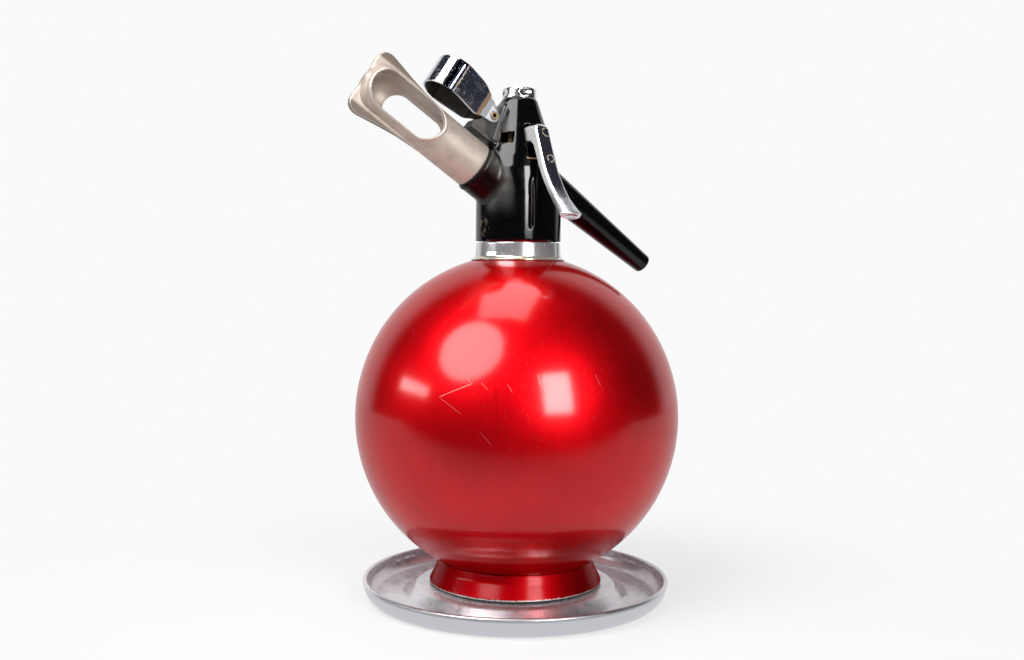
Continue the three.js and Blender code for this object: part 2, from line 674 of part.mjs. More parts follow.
function lever() {
  const reach = LEVER_REACH - LEVER_PIVOT_DISTANCE;
  const back = LEVER_BACK_SHARES.map(([out, down]) => [
    LEVER_PIVOT_DISTANCE + reach * out,
    LEVER_PIVOT_Z + LEVER_DROP * down,
  ]);
  const shoulder = LEVER_PIVOT_Z + LEVER_SHOULDER;
  const fromPivot = ([out, up]) => [
    LEVER_PIVOT_DISTANCE + LEVER_SHOULDER * out,
    LEVER_PIVOT_Z + LEVER_SHOULDER * up,
  ];
  const bar = back.slice(3);
  const front = bar.map(([out, up], at) => {
    const [outBefore, upBefore] = bar[Math.max(at - 1, 0)];
    const [outAfter, upAfter] = bar[Math.min(at + 1, bar.length - 1)];
    const run = new THREE.Vector2(outAfter - outBefore, upAfter - upBefore).normalize();
    const share = at / (bar.length - 1);
    const thickness = LEVER_THICKNESS + (LEVER_TOE_THICKNESS - LEVER_THICKNESS) * share;
    return [out + run.y * thickness, up - run.x * thickness];
  });
  const armRoot = LEVER_PIVOT_DISTANCE - LEVER_SHOULDER * LEVER_ARM_SHARE;
  const armBottom = LEVER_PIVOT_Z - LEVER_ARM_HEIGHT / 2;
  const armTip = LEVER_PIVOT_DISTANCE - LEVER_ARM_REACH;
  const outline = [
    [armTip, ARM_TOP],
    [armRoot, ARM_TOP],
    ...LEVER_TOP_SHARES.map(fromPivot),
    ...back.slice(1),
    ...front.reverse(),
    ...LEVER_CHEEK_SHARES.map(fromPivot),
    [armRoot, armBottom],
    [armTip, armBottom],
  ];
  const sideView = outline.map(([out, up]) => [-out, up]);
  const side = prism(sideView, -LEVER_TOE_HALF_WIDTH, LEVER_TOE_HALF_WIDTH);
  side.applyMatrix4(sideViewFrame());
  const toe = LEVER_PIVOT_Z - LEVER_DROP;
  const bottom = toe - LEVER_TOE_THICKNESS - CUT_OVERRUN;
  const flareStart = toe + LEVER_TOE_FLARE;
  const top = shoulder + CUT_OVERRUN;
  const spread = LEVER_TOE_HALF_WIDTH - LEVER_HALF_WIDTH;
  const steps = ARC_STEPS / 2;
  const flare = arc(LEVER_TOE_HALF_WIDTH, flareStart, spread, LEVER_TOE_FLARE, 180, 270, steps).reverse();
  const half = [[LEVER_TOE_HALF_WIDTH, bottom], ...flare, [LEVER_HALF_WIDTH, top]];
  const mirrored = half.map(([across, up]) => [-across, up]).reverse();
  const face = uprightPrism([...half, ...mirrored], LEVER_REACH + CUT_OVERRUN);
  const fork = block(
    [-LEVER_FORK_HALF_WIDTH, -LEVER_FORK_HALF_WIDTH, armBottom - CUT_OVERRUN],
    [LEVER_FORK_HALF_WIDTH, LEVER_ARM_REACH, ARM_TOP + CUT_OVERRUN]
  );
  const pinHole = rod(LEVER_PIN_RADIUS + PIVOT_GAP, -LEVER_REACH, LEVER_REACH, SMALL_FACETS)
    .rotateY(Math.PI / 2)
    .translate(0, -LEVER_PIVOT_DISTANCE, LEVER_PIVOT_Z);
  return solid(side).intersect(solid(face)).subtract(solid(fork)).subtract(solid(pinHole));
}

/** The frame that stands a side view, drawn in [Y, Z] and drawn out along Z, across the object's X. */
function sideViewFrame() {
  return new THREE.Matrix4().makeBasis(
    new THREE.Vector3(0, 1, 0),
    new THREE.Vector3(0, 0, 1),
    new THREE.Vector3(1, 0, 0)
  );
}

/** Half the width of the head casing, along X, where the lever's pin goes through. */
function pinHalfLength() {
  const across = coneRadiusAt(LEVER_PIVOT_Z + LEVER_PIN_RADIUS);
  return Math.sqrt(across * across - LEVER_PIVOT_DISTANCE * LEVER_PIVOT_DISTANCE) - SEAT_GAP;
}

function leverPin() {
  const half = pinHalfLength();
  return solid(
    rod(LEVER_PIN_RADIUS, -half, half, SMALL_FACETS)
      .rotateY(Math.PI / 2)
      .translate(0, -LEVER_PIVOT_DISTANCE, LEVER_PIVOT_Z)
  );
}

function reliefFrame() {
  return new THREE.Matrix4().makeRotationZ(THREE.MathUtils.degToRad(RELIEF_ANGLE));
}

function reliefValve() {
  const base = DECK_TOP + SEAT_GAP;
  const top = base + RELIEF_HEIGHT;
  const body = spindle(
    [
      [0, base],
      [RELIEF_BASE_RADIUS, base],
      [RELIEF_BASE_RADIUS, base + RELIEF_BASE_HEIGHT],
      [RELIEF_RADIUS, base + RELIEF_BASE_HEIGHT],
      [RELIEF_RADIUS, top - HEAD_EDGE],
      [RELIEF_RADIUS - HEAD_EDGE, top],
      [0, top],
    ],
    SMALL_FACETS
  ).translate(RELIEF_DISTANCE, 0, 0);
  return solid(body.applyMatrix4(reliefFrame()));
}

function topCap() {
  const base = HEAD_TOP + SEAT_GAP;
  const top = base + TOP_CAP_HEIGHT;
  const body = solid(
    spindle([
      [0, base - TOP_CAP_STUD_LENGTH],
      [TOP_CAP_STUD_RADIUS, base - TOP_CAP_STUD_LENGTH],
      [TOP_CAP_STUD_RADIUS, base],
      [TOP_CAP_RADIUS, base],
      [TOP_CAP_CROWN_RADIUS, top - TOP_CAP_EDGE],
      [TOP_CAP_CROWN_RADIUS - TOP_CAP_EDGE, top],
      [0, top],
    ])
  );
  const distance = TOP_CAP_RADIUS + TOP_CAP_FLUTE_RADIUS - TOP_CAP_FLUTE_DEPTH;
  const flute = rod(TOP_CAP_FLUTE_RADIUS, base + TOP_CAP_EDGE, top + CUT_OVERRUN, SMALL_FACETS);
  flute.translate(distance, 0, 0);
  return Array.from({ length: TOP_CAP_FLUTES }, (unused, at) =>
    solid(flute.clone().rotateZ((2 * Math.PI * (at + 0.5)) / TOP_CAP_FLUTES))
  ).reduce((cap, cut) => cap.subtract(cut), body);
}

function spout() {
  const nippleStart = SPOUT_ROOT_DISTANCE - SPOUT_NIPPLE_LENGTH;
  const mouthRadius = SPOUT_END_RADIUS - SPOUT_WALL;
  return solid(
    ring([
      [SPOUT_BORE_RADIUS, nippleStart],
      [SPOUT_NIPPLE_RADIUS, nippleStart],
      [SPOUT_NIPPLE_RADIUS, SPOUT_ROOT_DISTANCE],
      [SPOUT_ROOT_RADIUS, SPOUT_ROOT_DISTANCE],
      [SPOUT_END_RADIUS, SPOUT_LENGTH - SPOUT_EDGE],
      [SPOUT_END_RADIUS - SPOUT_EDGE, SPOUT_LENGTH],
      [mouthRadius, SPOUT_LENGTH],
      [mouthRadius, SPOUT_LENGTH - SPOUT_MOUTH_DEPTH],
      [SPOUT_BORE_RADIUS, SPOUT_LENGTH - SPOUT_MOUTH_DEPTH - SPOUT_WALL],
    ])
  );
}

/** Places of the cover's pin, and of the holder's own frame, in the upright plane: [along, up]. */
function fromHolderFrame(across, along) {
  const point = new THREE.Vector3(across, 0, along).applyMatrix4(HOLDER_FRAME);
  return [point.x, point.z];
}

/** The web that carries the cover's pin, and the rail under it, on the head. */
function coverBracket() {
  const pin = new THREE.Vector2(...fromHolderFrame(COVER_PIN_OFFSET, COVER_PIN_DISTANCE));
  const railTop = RAIL_OFFSET + RAIL_THICKNESS;
  const tailEnd = COVER_PIN_DISTANCE + WEB_TAIL;
  const crown = HEAD_TOP - WEB_CROWN_DROP;
  const outline = [
    [0, crown],
    [-coneRadiusAt(crown) + HEAD_EDGE, crown],
    ...arc(
      pin.x, pin.y, WEB_BOSS_RADIUS, WEB_BOSS_RADIUS, WEB_BOSS_START, 180 - HOLDER_TILT, ARC_STEPS / 2
    ),
    fromHolderFrame(COVER_PIN_OFFSET - WEB_BACK_DROP, tailEnd - WEB_TAIL_HEIGHT),
    fromHolderFrame(railTop + WEB_TAIL_HEIGHT, tailEnd),
    fromHolderFrame(railTop - RAIL_THICKNESS / 2, tailEnd),
    fromHolderFrame(railTop - RAIL_THICKNESS / 2, INSERT_DISTANCE),
  ];
  const web = solid(uprightPrism(outline, WEB_THICKNESS / 2));
  const rail = block([RAIL_OFFSET, -RAIL_HALF_WIDTH, INSERT_DISTANCE], [railTop, RAIL_HALF_WIDTH, tailEnd]);
  return web.add(solid(rail.applyMatrix4(HOLDER_FRAME)));
}

/** The recess that the lever works in, and the two grooves that run down from its sill. */
function leverPocket() {
  const roofHalf = LEVER_HALF_WIDTH + LEVER_SIDE_GAP;
  const mouth = prism(
    [
      [-POCKET_SILL_HALF_WIDTH, POCKET_SILL],
      [POCKET_SILL_HALF_WIDTH, POCKET_SILL],
      [roofHalf, POCKET_ROOF - LEVER_SIDE_GAP * 2],
      [roofHalf - LEVER_SIDE_GAP * 2, POCKET_ROOF],
      [LEVER_SIDE_GAP * 2 - roofHalf, POCKET_ROOF],
      [-roofHalf, POCKET_ROOF - LEVER_SIDE_GAP * 2],
    ],
    LEVER_FORK_HALF_WIDTH * 2,
    HEAD_RADIUS + CUT_OVERRUN
  ).rotateX(Math.PI / 2);
  const end = POCKET_SILL - GROOVE_LENGTH + GROOVE_WIDTH / 2;
  const cuts = [-GROOVE_OFFSET, GROOVE_OFFSET].map((across) => {
    const face = Math.sqrt(HEAD_RADIUS * HEAD_RADIUS - across * across);
    const outline = [
      [across + GROOVE_WIDTH / 2, POCKET_SILL + GROOVE_WIDTH],
      [across - GROOVE_WIDTH / 2, POCKET_SILL + GROOVE_WIDTH],
      ...arc(across, end, GROOVE_WIDTH / 2, GROOVE_WIDTH / 2, 180, 360, ARC_STEPS / 2),
    ];
    const lower = prism(outline, face - GROOVE_DEPTH, HEAD_RADIUS + CUT_OVERRUN).rotateX(Math.PI / 2);
    return solid(lower);
  });
  return cuts.reduce((sum, cut) => sum.add(cut), solid(mouth));
}

function headCasing() {
  const blendLow = HEAD_SHOULDER - HEAD_BLEND;
  const blendHigh = HEAD_SHOULDER + HEAD_BLEND;
  const blendMiddle = THREE.MathUtils.lerp(HEAD_RADIUS, coneRadiusAt(blendHigh), HEAD_BLEND_SHARE);
  const outer = solid(
    spindle(
      [
        [0, HEAD_BASE],
        [HEAD_RADIUS - HEAD_EDGE, HEAD_BASE],
        [HEAD_RADIUS, HEAD_BASE + HEAD_EDGE],
        [HEAD_RADIUS, blendLow],
        [blendMiddle, HEAD_SHOULDER],
        [coneRadiusAt(blendHigh), blendHigh],
        [coneRadiusAt(HEAD_TOP - HEAD_EDGE), HEAD_TOP - HEAD_EDGE],
        [HEAD_TOP_RADIUS - HEAD_EDGE, HEAD_TOP],
        [0, HEAD_TOP],
      ],
      LARGE_FACETS
    )
  );
  const port = solid(
    spindle([
      [0, 0],
      [PORT_RADIUS, 0],
      [PORT_RADIUS, PORT_DISTANCE - PORT_EDGE],
      [PORT_RADIUS - PORT_EDGE, PORT_DISTANCE],
      [0, PORT_DISTANCE],
    ]).applyMatrix4(HOLDER_FRAME)
  );
  const cavityTop = HEAD_TOP - HEAD_TOP_WALL;
  const cavity = solid(
    spindle([
      [0, HEAD_BASE - CUT_OVERRUN],
      [HEAD_BORE_RADIUS, HEAD_BASE - CUT_OVERRUN],
      [HEAD_BORE_RADIUS, blendLow],
      [coneRadiusAt(blendHigh) - HEAD_WALL, blendHigh],
      [coneRadiusAt(cavityTop) - HEAD_WALL, cavityTop],
      [0, cavityTop],
    ])
  );
  const studFit = TOP_CAP_STUD_RADIUS + SEAT_GAP;
  const studHole = solid(rod(studFit, cavityTop - CUT_OVERRUN, HEAD_TOP + CUT_OVERRUN, SMALL_FACETS));
  const insertBore = leaningBore(HOLDER_FRAME, INSERT_RADIUS + SEAT_GAP, 0, PORT_DISTANCE + CUT_OVERRUN);
  const spoutHole = solid(
    spindle([
      [0, SPOUT_ROOT_DISTANCE - CUT_OVERRUN],
      [SPOUT_ROOT_RADIUS + SEAT_GAP, SPOUT_ROOT_DISTANCE - CUT_OVERRUN],
      [SPOUT_ROOT_RADIUS + SEAT_GAP, SPOUT_ROOT_DISTANCE],
      [SPOUT_END_RADIUS + SEAT_GAP, SPOUT_LENGTH],
      [0, SPOUT_LENGTH],
    ]).applyMatrix4(SPOUT_FRAME)
  );
  const half = pinHalfLength() + CUT_OVERRUN;
  const pinBore = solid(
    rod(LEVER_PIN_RADIUS + PIVOT_GAP, -half, half, SMALL_FACETS)
      .rotateY(Math.PI / 2)
      .translate(0, -LEVER_PIVOT_DISTANCE, LEVER_PIVOT_Z)
  );
  const windowMiddle = HEAD_BASE + RELIEF_WINDOW_RISE;
  const window = solid(
    block(
      [RELIEF_DISTANCE, -RELIEF_WINDOW_WIDTH / 2, windowMiddle - RELIEF_WINDOW_HEIGHT / 2],
      [HEAD_RADIUS, RELIEF_WINDOW_WIDTH / 2, windowMiddle + RELIEF_WINDOW_HEIGHT / 2]
    ).applyMatrix4(reliefFrame())
  );
  const coverPinHole = solid(coverPinRod(COVER_PIN_RADIUS + PIVOT_GAP, WEB_THICKNESS / 2 + CUT_OVERRUN));
  return [cavity, studHole, insertBore, spoutHole, pinBore, window, leverPocket(), coverPinHole].reduce(
    (casing, cut) => casing.subtract(cut),
    outer.add(port).add(coverBracket())
  );
}

/** A rod along Y on the cover's pin. */
function coverPinRod(radius, halfLength) {
  const [x, z] = fromHolderFrame(COVER_PIN_OFFSET, COVER_PIN_DISTANCE);
  return rod(radius, -halfLength, halfLength, SMALL_FACETS).rotateX(Math.PI / 2).translate(x, 0, z);
}

function portInsert() {
  const flangeEnd = PORT_DISTANCE - INSERT_RECESS;
  const end = PORT_DISTANCE + NIPPLE_LENGTH;
  const boreBase = end - NIPPLE_BORE_DEPTH;
  const pinHole = PIN_RADIUS + SEAT_GAP;
  return solid(
    ring([
      [pinHole, INSERT_DISTANCE],
      [INSERT_RADIUS, INSERT_DISTANCE],
      [INSERT_RADIUS, flangeEnd],
      [NIPPLE_RADIUS, flangeEnd],
      [NIPPLE_RADIUS, end - PORT_EDGE],
      [NIPPLE_RADIUS - PORT_EDGE, end],
      [NIPPLE_BORE_RADIUS, end],
      [NIPPLE_BORE_RADIUS, boreBase],
      [pinHole, boreBase],
    ])
  );
}

function boreBottom() {
  return PORT_DISTANCE + NIPPLE_LENGTH - NIPPLE_BORE_DEPTH;
}

function piercingPin() {
  const tip = boreBottom() + PIN_REACH;
  const foot = tip - PIN_LENGTH;
  const half = [[0, foot], [PIN_RADIUS, foot], [PIN_RADIUS, tip - PIN_POINT], [0, tip]];
  return solid(spindle(half, SMALL_FACETS));
}

function chargerSeal() {
  const base = boreBottom() + SEAT_GAP;
  const outer = NIPPLE_BORE_RADIUS - SEAT_GAP;
  return solid(tube(outer, PIN_RADIUS + SEAT_GAP, base, base + CHARGER_SEAL_THICKNESS, SMALL_FACETS));
}

function portGasket() {
  const base = PORT_DISTANCE + SEAT_GAP;
  return solid(tube(GASKET_RADIUS, NIPPLE_RADIUS + SEAT_GAP, base, base + GASKET_THICKNESS));
}

/** The outline of one wing in [across, along], as shares of the wing's reach and the holder's length. */
const WING_SHARES = [
  [0.68, 0.33], [0.715, 0.46], [0.755, 0.58], [0.85, 0.72], [0.93, 0.82], [0.985, 0.89],
  [1, 0.93], [0.96, 0.972], [0.84, 0.994], [0.62, 1], [0, 0.985],
];

/** A stadium-shaped opening in [across, along], with its ends at two distances. */
function stadium(from, to, halfWidth) {
  return [
    ...arc(0, from + halfWidth, halfWidth, halfWidth, 180, 360),
    ...arc(0, to - halfWidth, halfWidth, halfWidth, 0, 180),
  ];
}

/** A prism across the holder, of an [across, along] outline in the holder's frame. */
function acrossHolder(outline, from, to) {
  return prism(outline, -to, -from).rotateX(Math.PI / 2);
}

function chargerHolder() {
  const end = HOLDER_START + HOLDER_LENGTH;
  const bore = CHARGER_RADIUS + CHARGER_PLAY;
  const boreEnd = end - HOLDER_END_WALL;
  const shell = solid(
    spindle([
      [0, HOLDER_START],
      [HOLDER_RADIUS - HOLDER_EDGE, HOLDER_START],
      [HOLDER_RADIUS, HOLDER_START + HOLDER_EDGE],
      ...arc(0, end - HOLDER_RADIUS, HOLDER_RADIUS, HOLDER_RADIUS, 0, 90),
    ])
  );
  const hollow = solid(
    spindle([
      [0, HOLDER_START - CUT_OVERRUN],
      [bore, HOLDER_START - CUT_OVERRUN],
      ...arc(0, boreEnd - bore, bore, bore, 0, 90),
    ])
  );
  const wingTop = WING_SHARES.map(([across, along]) => [
    across * WING_RADIUS,
    HOLDER_START + along * HOLDER_LENGTH,
  ]);
  const wingBottom = wingTop.map(([across, along]) => [-across, along]).reverse().slice(1);
  const wings = solid(acrossHolder([...wingTop, ...wingBottom], -WING_THICKNESS / 2, WING_THICKNESS / 2));
  const frontStart = HOLDER_START + WINDOW_START;
  const backStart = HOLDER_START + BACK_WINDOW_START;
  const front = stadium(frontStart, frontStart + WINDOW_LENGTH, WINDOW_HALF_WIDTH);
  const back = stadium(backStart, backStart + BACK_WINDOW_LENGTH, BACK_WINDOW_HALF_WIDTH);
  const depth = HOLDER_RADIUS + CUT_OVERRUN;
  const windows = solid(acrossHolder(front, -depth, 0)).add(solid(acrossHolder(back, 0, depth)));
  return shell.add(wings).subtract(hollow).subtract(windows);
}

/** The cover's plan in [out from the pin, across]: a round end drawn in to the ears. */
function coverPlan(inset) {
  const ear = WEB_THICKNESS / 2 + COVER_EAR_GAP + COVER_SHEET - inset;
  const radius = COVER_RADIUS - inset;
  const cheek = COVER_EAR_RADIUS;
  const lean = THREE.MathUtils.radToDeg(Math.asin((radius - ear) / (COVER_REACH - cheek)));
  const back = -COVER_EAR_RADIUS - CUT_OVERRUN;
  return [
    [back, -ear],
    [cheek, -ear],
    ...arc(COVER_REACH, 0, radius, radius, -90 - lean, 90 + lean, ARC_STEPS * 2),
    [cheek, ear],
    [back, ear],
  ];
}

/** Places in the cover's side view, out from the pin or down from a level, as shares of the ear. */
const COVER_SIDE_SHARES = {
  cheekOut: 1.5,
  cheekDrop: 1.2,
  mouthOut: 2.6,
  topOut: 2.7,
  browOut: 0.5,
  browDrop: 0.8,
};

/** The cover's side view in [out from the pin, up from the pin], drawn in by an inset at its top. */
function coverSide(inset, drop) {
  const tip = COVER_REACH + COVER_RADIUS + CUT_OVERRUN;
  const mouth = -COVER_MOUTH_DROP - drop;
  const rise = COVER_RISE - inset;
  const ear = COVER_EAR_RADIUS;
  const shares = COVER_SIDE_SHARES;
  return [
    ...arc(0, 0, ear, ear, COVER_EAR_START, COVER_EAR_STOP, ARC_STEPS / 2),
    [ear * shares.cheekOut, -ear * shares.cheekDrop - drop],
    [ear * shares.mouthOut, mouth],
    [tip, mouth],
    [tip, rise],
    [ear * shares.topOut, rise],
    [ear * shares.browOut, rise - ear * shares.browDrop],
  ];
}

function portCover() {
  const plan = (inset) => {
    const outline = coverPlan(inset).map(([out, across]) => [out, -across]);
    return solid(prism(outline, -COVER_RISE * 2, COVER_RISE * 2));
  };
  const side = (inset, drop) => solid(uprightPrism(coverSide(inset, drop), COVER_RADIUS + CUT_OVERRUN));
  const outer = plan(0).intersect(side(0, 0));
  const openBack = block(
    [-COVER_EAR_RADIUS - CUT_OVERRUN, -WEB_THICKNESS / 2 - COVER_EAR_GAP, -COVER_MOUTH_DROP - CUT_OVERRUN],
    [
      COVER_EAR_RADIUS * COVER_SIDE_SHARES.cheekOut,
      WEB_THICKNESS / 2 + COVER_EAR_GAP,
      COVER_RISE + CUT_OVERRUN,
    ]
  );
  const inner = plan(COVER_SHEET).intersect(side(COVER_SHEET, CUT_OVERRUN));
  const holeRadius = COVER_PIN_RADIUS + PIVOT_GAP;
  const hole = rod(holeRadius, -COVER_RADIUS, COVER_RADIUS, SMALL_FACETS).rotateX(Math.PI / 2);
  return outer.subtract(inner).subtract(solid(openBack)).subtract(solid(hole));
}

/** The frame of the cover: its pin is the origin, X runs out along the holder and Z is square to it. */
function coverFrame() {
  const [x, z] = fromHolderFrame(COVER_PIN_OFFSET, COVER_PIN_DISTANCE);
  const tilt = THREE.MathUtils.degToRad(HOLDER_TILT);
  return new THREE.Matrix4().makeBasis(
    new THREE.Vector3(-Math.cos(tilt), 0, Math.sin(tilt)),
    new THREE.Vector3(0, -1, 0),
    new THREE.Vector3(Math.sin(tilt), 0, Math.cos(tilt))
  ).setPosition(x, 0, z);
}

function coverPin() {
  const ears = WEB_THICKNESS / 2 + COVER_EAR_GAP + COVER_SHEET;
  const inside = ears + SEAT_GAP;
  const end = inside + COVER_PIN_HEAD;
  const [x, z] = fromHolderFrame(COVER_PIN_OFFSET, COVER_PIN_DISTANCE);
  const body = ring(
    [
      [COVER_PIN_BORE_RADIUS, -end],
      [COVER_PIN_HEAD_RADIUS, -end],
      [COVER_PIN_HEAD_RADIUS, -inside],
      [COVER_PIN_RADIUS, -inside],
      [COVER_PIN_RADIUS, inside],
      [COVER_PIN_HEAD_RADIUS, inside],
      [COVER_PIN_HEAD_RADIUS, end],
      [COVER_PIN_BORE_RADIUS, end],
    ],
    SMALL_FACETS
  );
  return solid(body.rotateX(Math.PI / 2).translate(x, 0, z));
}

const siphon = new THREE.Group();
siphon.add(piece('drip_tray', dripTray(), CHROME));

const vessel = new THREE.Group();
vessel.add(
  piece('globe', globe(), RED_ALUMINIUM),
  piece('foot_ring', footRing(), RED_ALUMINIUM),
  piece('foot_bumper', footBumper(), RUBBER),
  piece('neck_ring', neckRing(), CHROME)
);

const tubeParts = new THREE.Group();
tubeParts.add(
  piece('dip_tube', dipTube(), CLEAR_PLASTIC),
  piece('strainer', strainer(), CLEAR_PLASTIC),
  piece('head_seal', headSeal(), RUBBER)
);

const head = new THREE.Group();
head.add(
  piece('head_casing', headCasing(), BLACK_MOULDING),
  piece('valve_body', valveBody(), BRASS),
  piece('valve_seat', valveSeat(), STEEL),
  piece('valve_gland', valveGland(), BRASS),
  piece('valve_spring', valveSpring(), STEEL),
  piece('relief_valve', reliefValve(), BRASS),
  piece('top_cap', topCap(), CHROME),
  piece('spout', spout(), BLACK_MOULDING, SPOUT_FRAME),
  piece('port_insert', portInsert(), BRASS, HOLDER_FRAME),
  piece('piercing_pin', piercingPin(), STEEL, HOLDER_FRAME),
  piece('charger_seal', chargerSeal(), RUBBER, HOLDER_FRAME),
  piece('port_gasket', portGasket(), RUBBER, HOLDER_FRAME),
  piece('lever_pin', leverPin(), STEEL),
  piece('cover_pin', coverPin(), STEEL)
);

const movers = new THREE.Group();
movers.add(
  piece('lever', lever(), CHROME),
  piece('valve_stem', valveStem(), STEEL),
  piece('valve_washer', valveWasher(), RUBBER),
  piece('port_cover', portCover(), CHROME, coverFrame()),
  piece('charger_holder', chargerHolder(), CAST_ALLOY, HOLDER_FRAME)
);

siphon.add(vessel, tubeParts, head, movers);

export default siphon;
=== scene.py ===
import json
import logging
import math
from dataclasses import dataclass, field
from enum import Enum
from functools import reduce
from typing import Any, Callable, Optional, Sequence, Union

import bmesh
import bpy
import numpy as np
from mathutils import Matrix, Vector


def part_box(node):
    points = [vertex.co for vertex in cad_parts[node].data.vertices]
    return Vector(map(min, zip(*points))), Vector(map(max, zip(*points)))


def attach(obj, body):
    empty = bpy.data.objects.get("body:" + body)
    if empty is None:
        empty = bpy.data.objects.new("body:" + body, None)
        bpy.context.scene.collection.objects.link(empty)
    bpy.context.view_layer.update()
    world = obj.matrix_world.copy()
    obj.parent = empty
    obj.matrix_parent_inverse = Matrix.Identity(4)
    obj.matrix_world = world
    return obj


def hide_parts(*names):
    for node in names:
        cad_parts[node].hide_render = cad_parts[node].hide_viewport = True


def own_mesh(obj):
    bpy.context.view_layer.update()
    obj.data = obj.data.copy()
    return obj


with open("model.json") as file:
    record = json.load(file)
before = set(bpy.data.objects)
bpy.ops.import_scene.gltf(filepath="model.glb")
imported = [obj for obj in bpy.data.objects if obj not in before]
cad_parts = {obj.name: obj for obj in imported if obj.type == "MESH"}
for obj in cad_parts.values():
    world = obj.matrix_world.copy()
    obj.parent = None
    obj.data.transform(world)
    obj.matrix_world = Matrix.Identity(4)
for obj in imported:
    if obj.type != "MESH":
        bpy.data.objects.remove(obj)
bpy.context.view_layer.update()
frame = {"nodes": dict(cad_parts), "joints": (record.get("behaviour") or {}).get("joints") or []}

MM = 0.001
GLOBE_CENTRE = 98.65
UPWARDS = (0.0, 0.0, 1.0)
INTO_VIEW = (0.476, 0.88, 0.0)

Array = np.ndarray
Outline = Sequence[Sequence[float]]
Distance = Callable[[Array], Array]

log = logging.getLogger("siphon")


# Places that the frame gives


def low_corner(node: str) -> Array:
    """Lowest corner of a node at rest, in millimetres."""
    return np.array(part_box(node)[0]) / MM


def high_corner(node: str) -> Array:
    """Highest corner of a node at rest, in millimetres."""
    return np.array(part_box(node)[1]) / MM


def joint_place(name: str) -> Array:
    """Point on a joint's axis at rest, in millimetres."""
    return np.array(next(j["pos_m"] for j in frame["joints"] if j["name"] == name)) / MM


def joint_axis(name: str) -> Array:
    """Unit vector along a joint's axis at rest."""
    axis = np.array(next(j["axis"] for j in frame["joints"] if j["name"] == name), float)
    return axis / np.linalg.norm(axis)


def frame_of(origin: Sequence[float], across: Sequence[float], along: Sequence[float]) -> Array:
    """A 4 by 4 frame from its origin, its X and its Z.

    Args:
        origin: the frame's origin in millimetres.
        across: direction of the frame's X.
        along: direction of the frame's Z.

    Returns:
        The matrix that takes the frame's points to the object's.
    """
    x = np.array(across, float) / np.linalg.norm(across)
    z = np.array(along, float) / np.linalg.norm(along)
    placed = np.eye(4)
    placed[:3, 0], placed[:3, 1], placed[:3, 2], placed[:3, 3] = x, np.cross(z, x), z, origin
    return placed


HOLDER_ALONG = joint_axis("holder_turn")
HOLDER_UP = np.array([HOLDER_ALONG[2], 0.0, -HOLDER_ALONG[0]])
HOLDER_FRAME = frame_of(joint_place("holder_turn"), HOLDER_UP, HOLDER_ALONG)
COVER_FRAME = frame_of(joint_place("cover_hinge"), HOLDER_ALONG, HOLDER_UP)
RIVET_FRAME = frame_of(joint_place("cover_hinge"), [1, 0, 0], [0, 1, 0])
SPOUT_ALONG = np.array([-HOLDER_ALONG[0], 0.0, -HOLDER_ALONG[2]])
SPOUT_FRAME = frame_of(joint_place("holder_turn") + [0, 0, 22.9], HOLDER_UP, SPOUT_ALONG)


# Outlines


def arc(centre: Sequence[float], radii: Sequence[float], start: float, stop: float, steps: int = 10) -> list:
    """Points centre + (rx cos a, ry sin a) with a from start to stop in degrees.

    Args:
        centre: middle of the arc.
        radii: its two radii.
        start: first angle.
        stop: last angle.
        steps: number of steps between them.

    Returns:
        A list of [x, y] points.
    """
    angle = np.radians(np.linspace(start, stop, steps + 1))
    return np.stack([centre[0] + radii[0] * np.cos(angle), centre[1] + radii[1] * np.sin(angle)], 1).tolist()


def rounded(outline: Outline, bends: Union[float, Sequence[float]], closed: bool, steps: int = 5) -> Array:
    """An outline with its corners rounded.

    A corner of angle w gives way to an arc of radius r about a point r / sin(w/2) away on its bisector.

    Args:
        outline: the corners.
        bends: one radius for all corners, or one for each.
        closed: whether the last corner joins the first.
        steps: steps along each bend.

    Returns:
        The points of the rounded outline.
    """
    corners = np.array(outline, float)
    count = len(corners)
    radii = np.broadcast_to(np.array(bends, float), (count,))
    points = []
    for at in range(count):
        corner = corners[at]
        before, after = corners[at - 1], corners[(at + 1) % count]
        if not closed and at in (0, count - 1):
            points.append(corner)
            continue
        to_before, to_after = before - corner, after - corner
        reach_before, reach_after = np.linalg.norm(to_before), np.linalg.norm(to_after)
        if min(reach_before, reach_after) < 1e-9:
            continue
        to_before, to_after = to_before / reach_before, to_after / reach_after
        angle = math.acos(float(np.clip(to_before @ to_after, -1.0, 1.0)))
        if angle > math.radians(176) or radii[at] <= 0:
            points.append(corner)
            continue
        setback = min(radii[at] / math.tan(angle / 2), 0.45 * reach_before, 0.45 * reach_after)
        radius = setback * math.tan(angle / 2)
        inwards = (to_before + to_after) / np.linalg.norm(to_before + to_after)
        middle = corner + inwards * radius / math.sin(angle / 2)
        first, last = corner + to_before * setback - middle, corner + to_after * setback - middle
        turn = math.pi - angle
        share = np.linspace(0, 1, steps + 1)[:, None]
        bend = (np.sin((1 - share) * turn) * first + np.sin(share * turn) * last) / math.sin(turn)
        points.extend(middle + bend)
    return np.array(points)


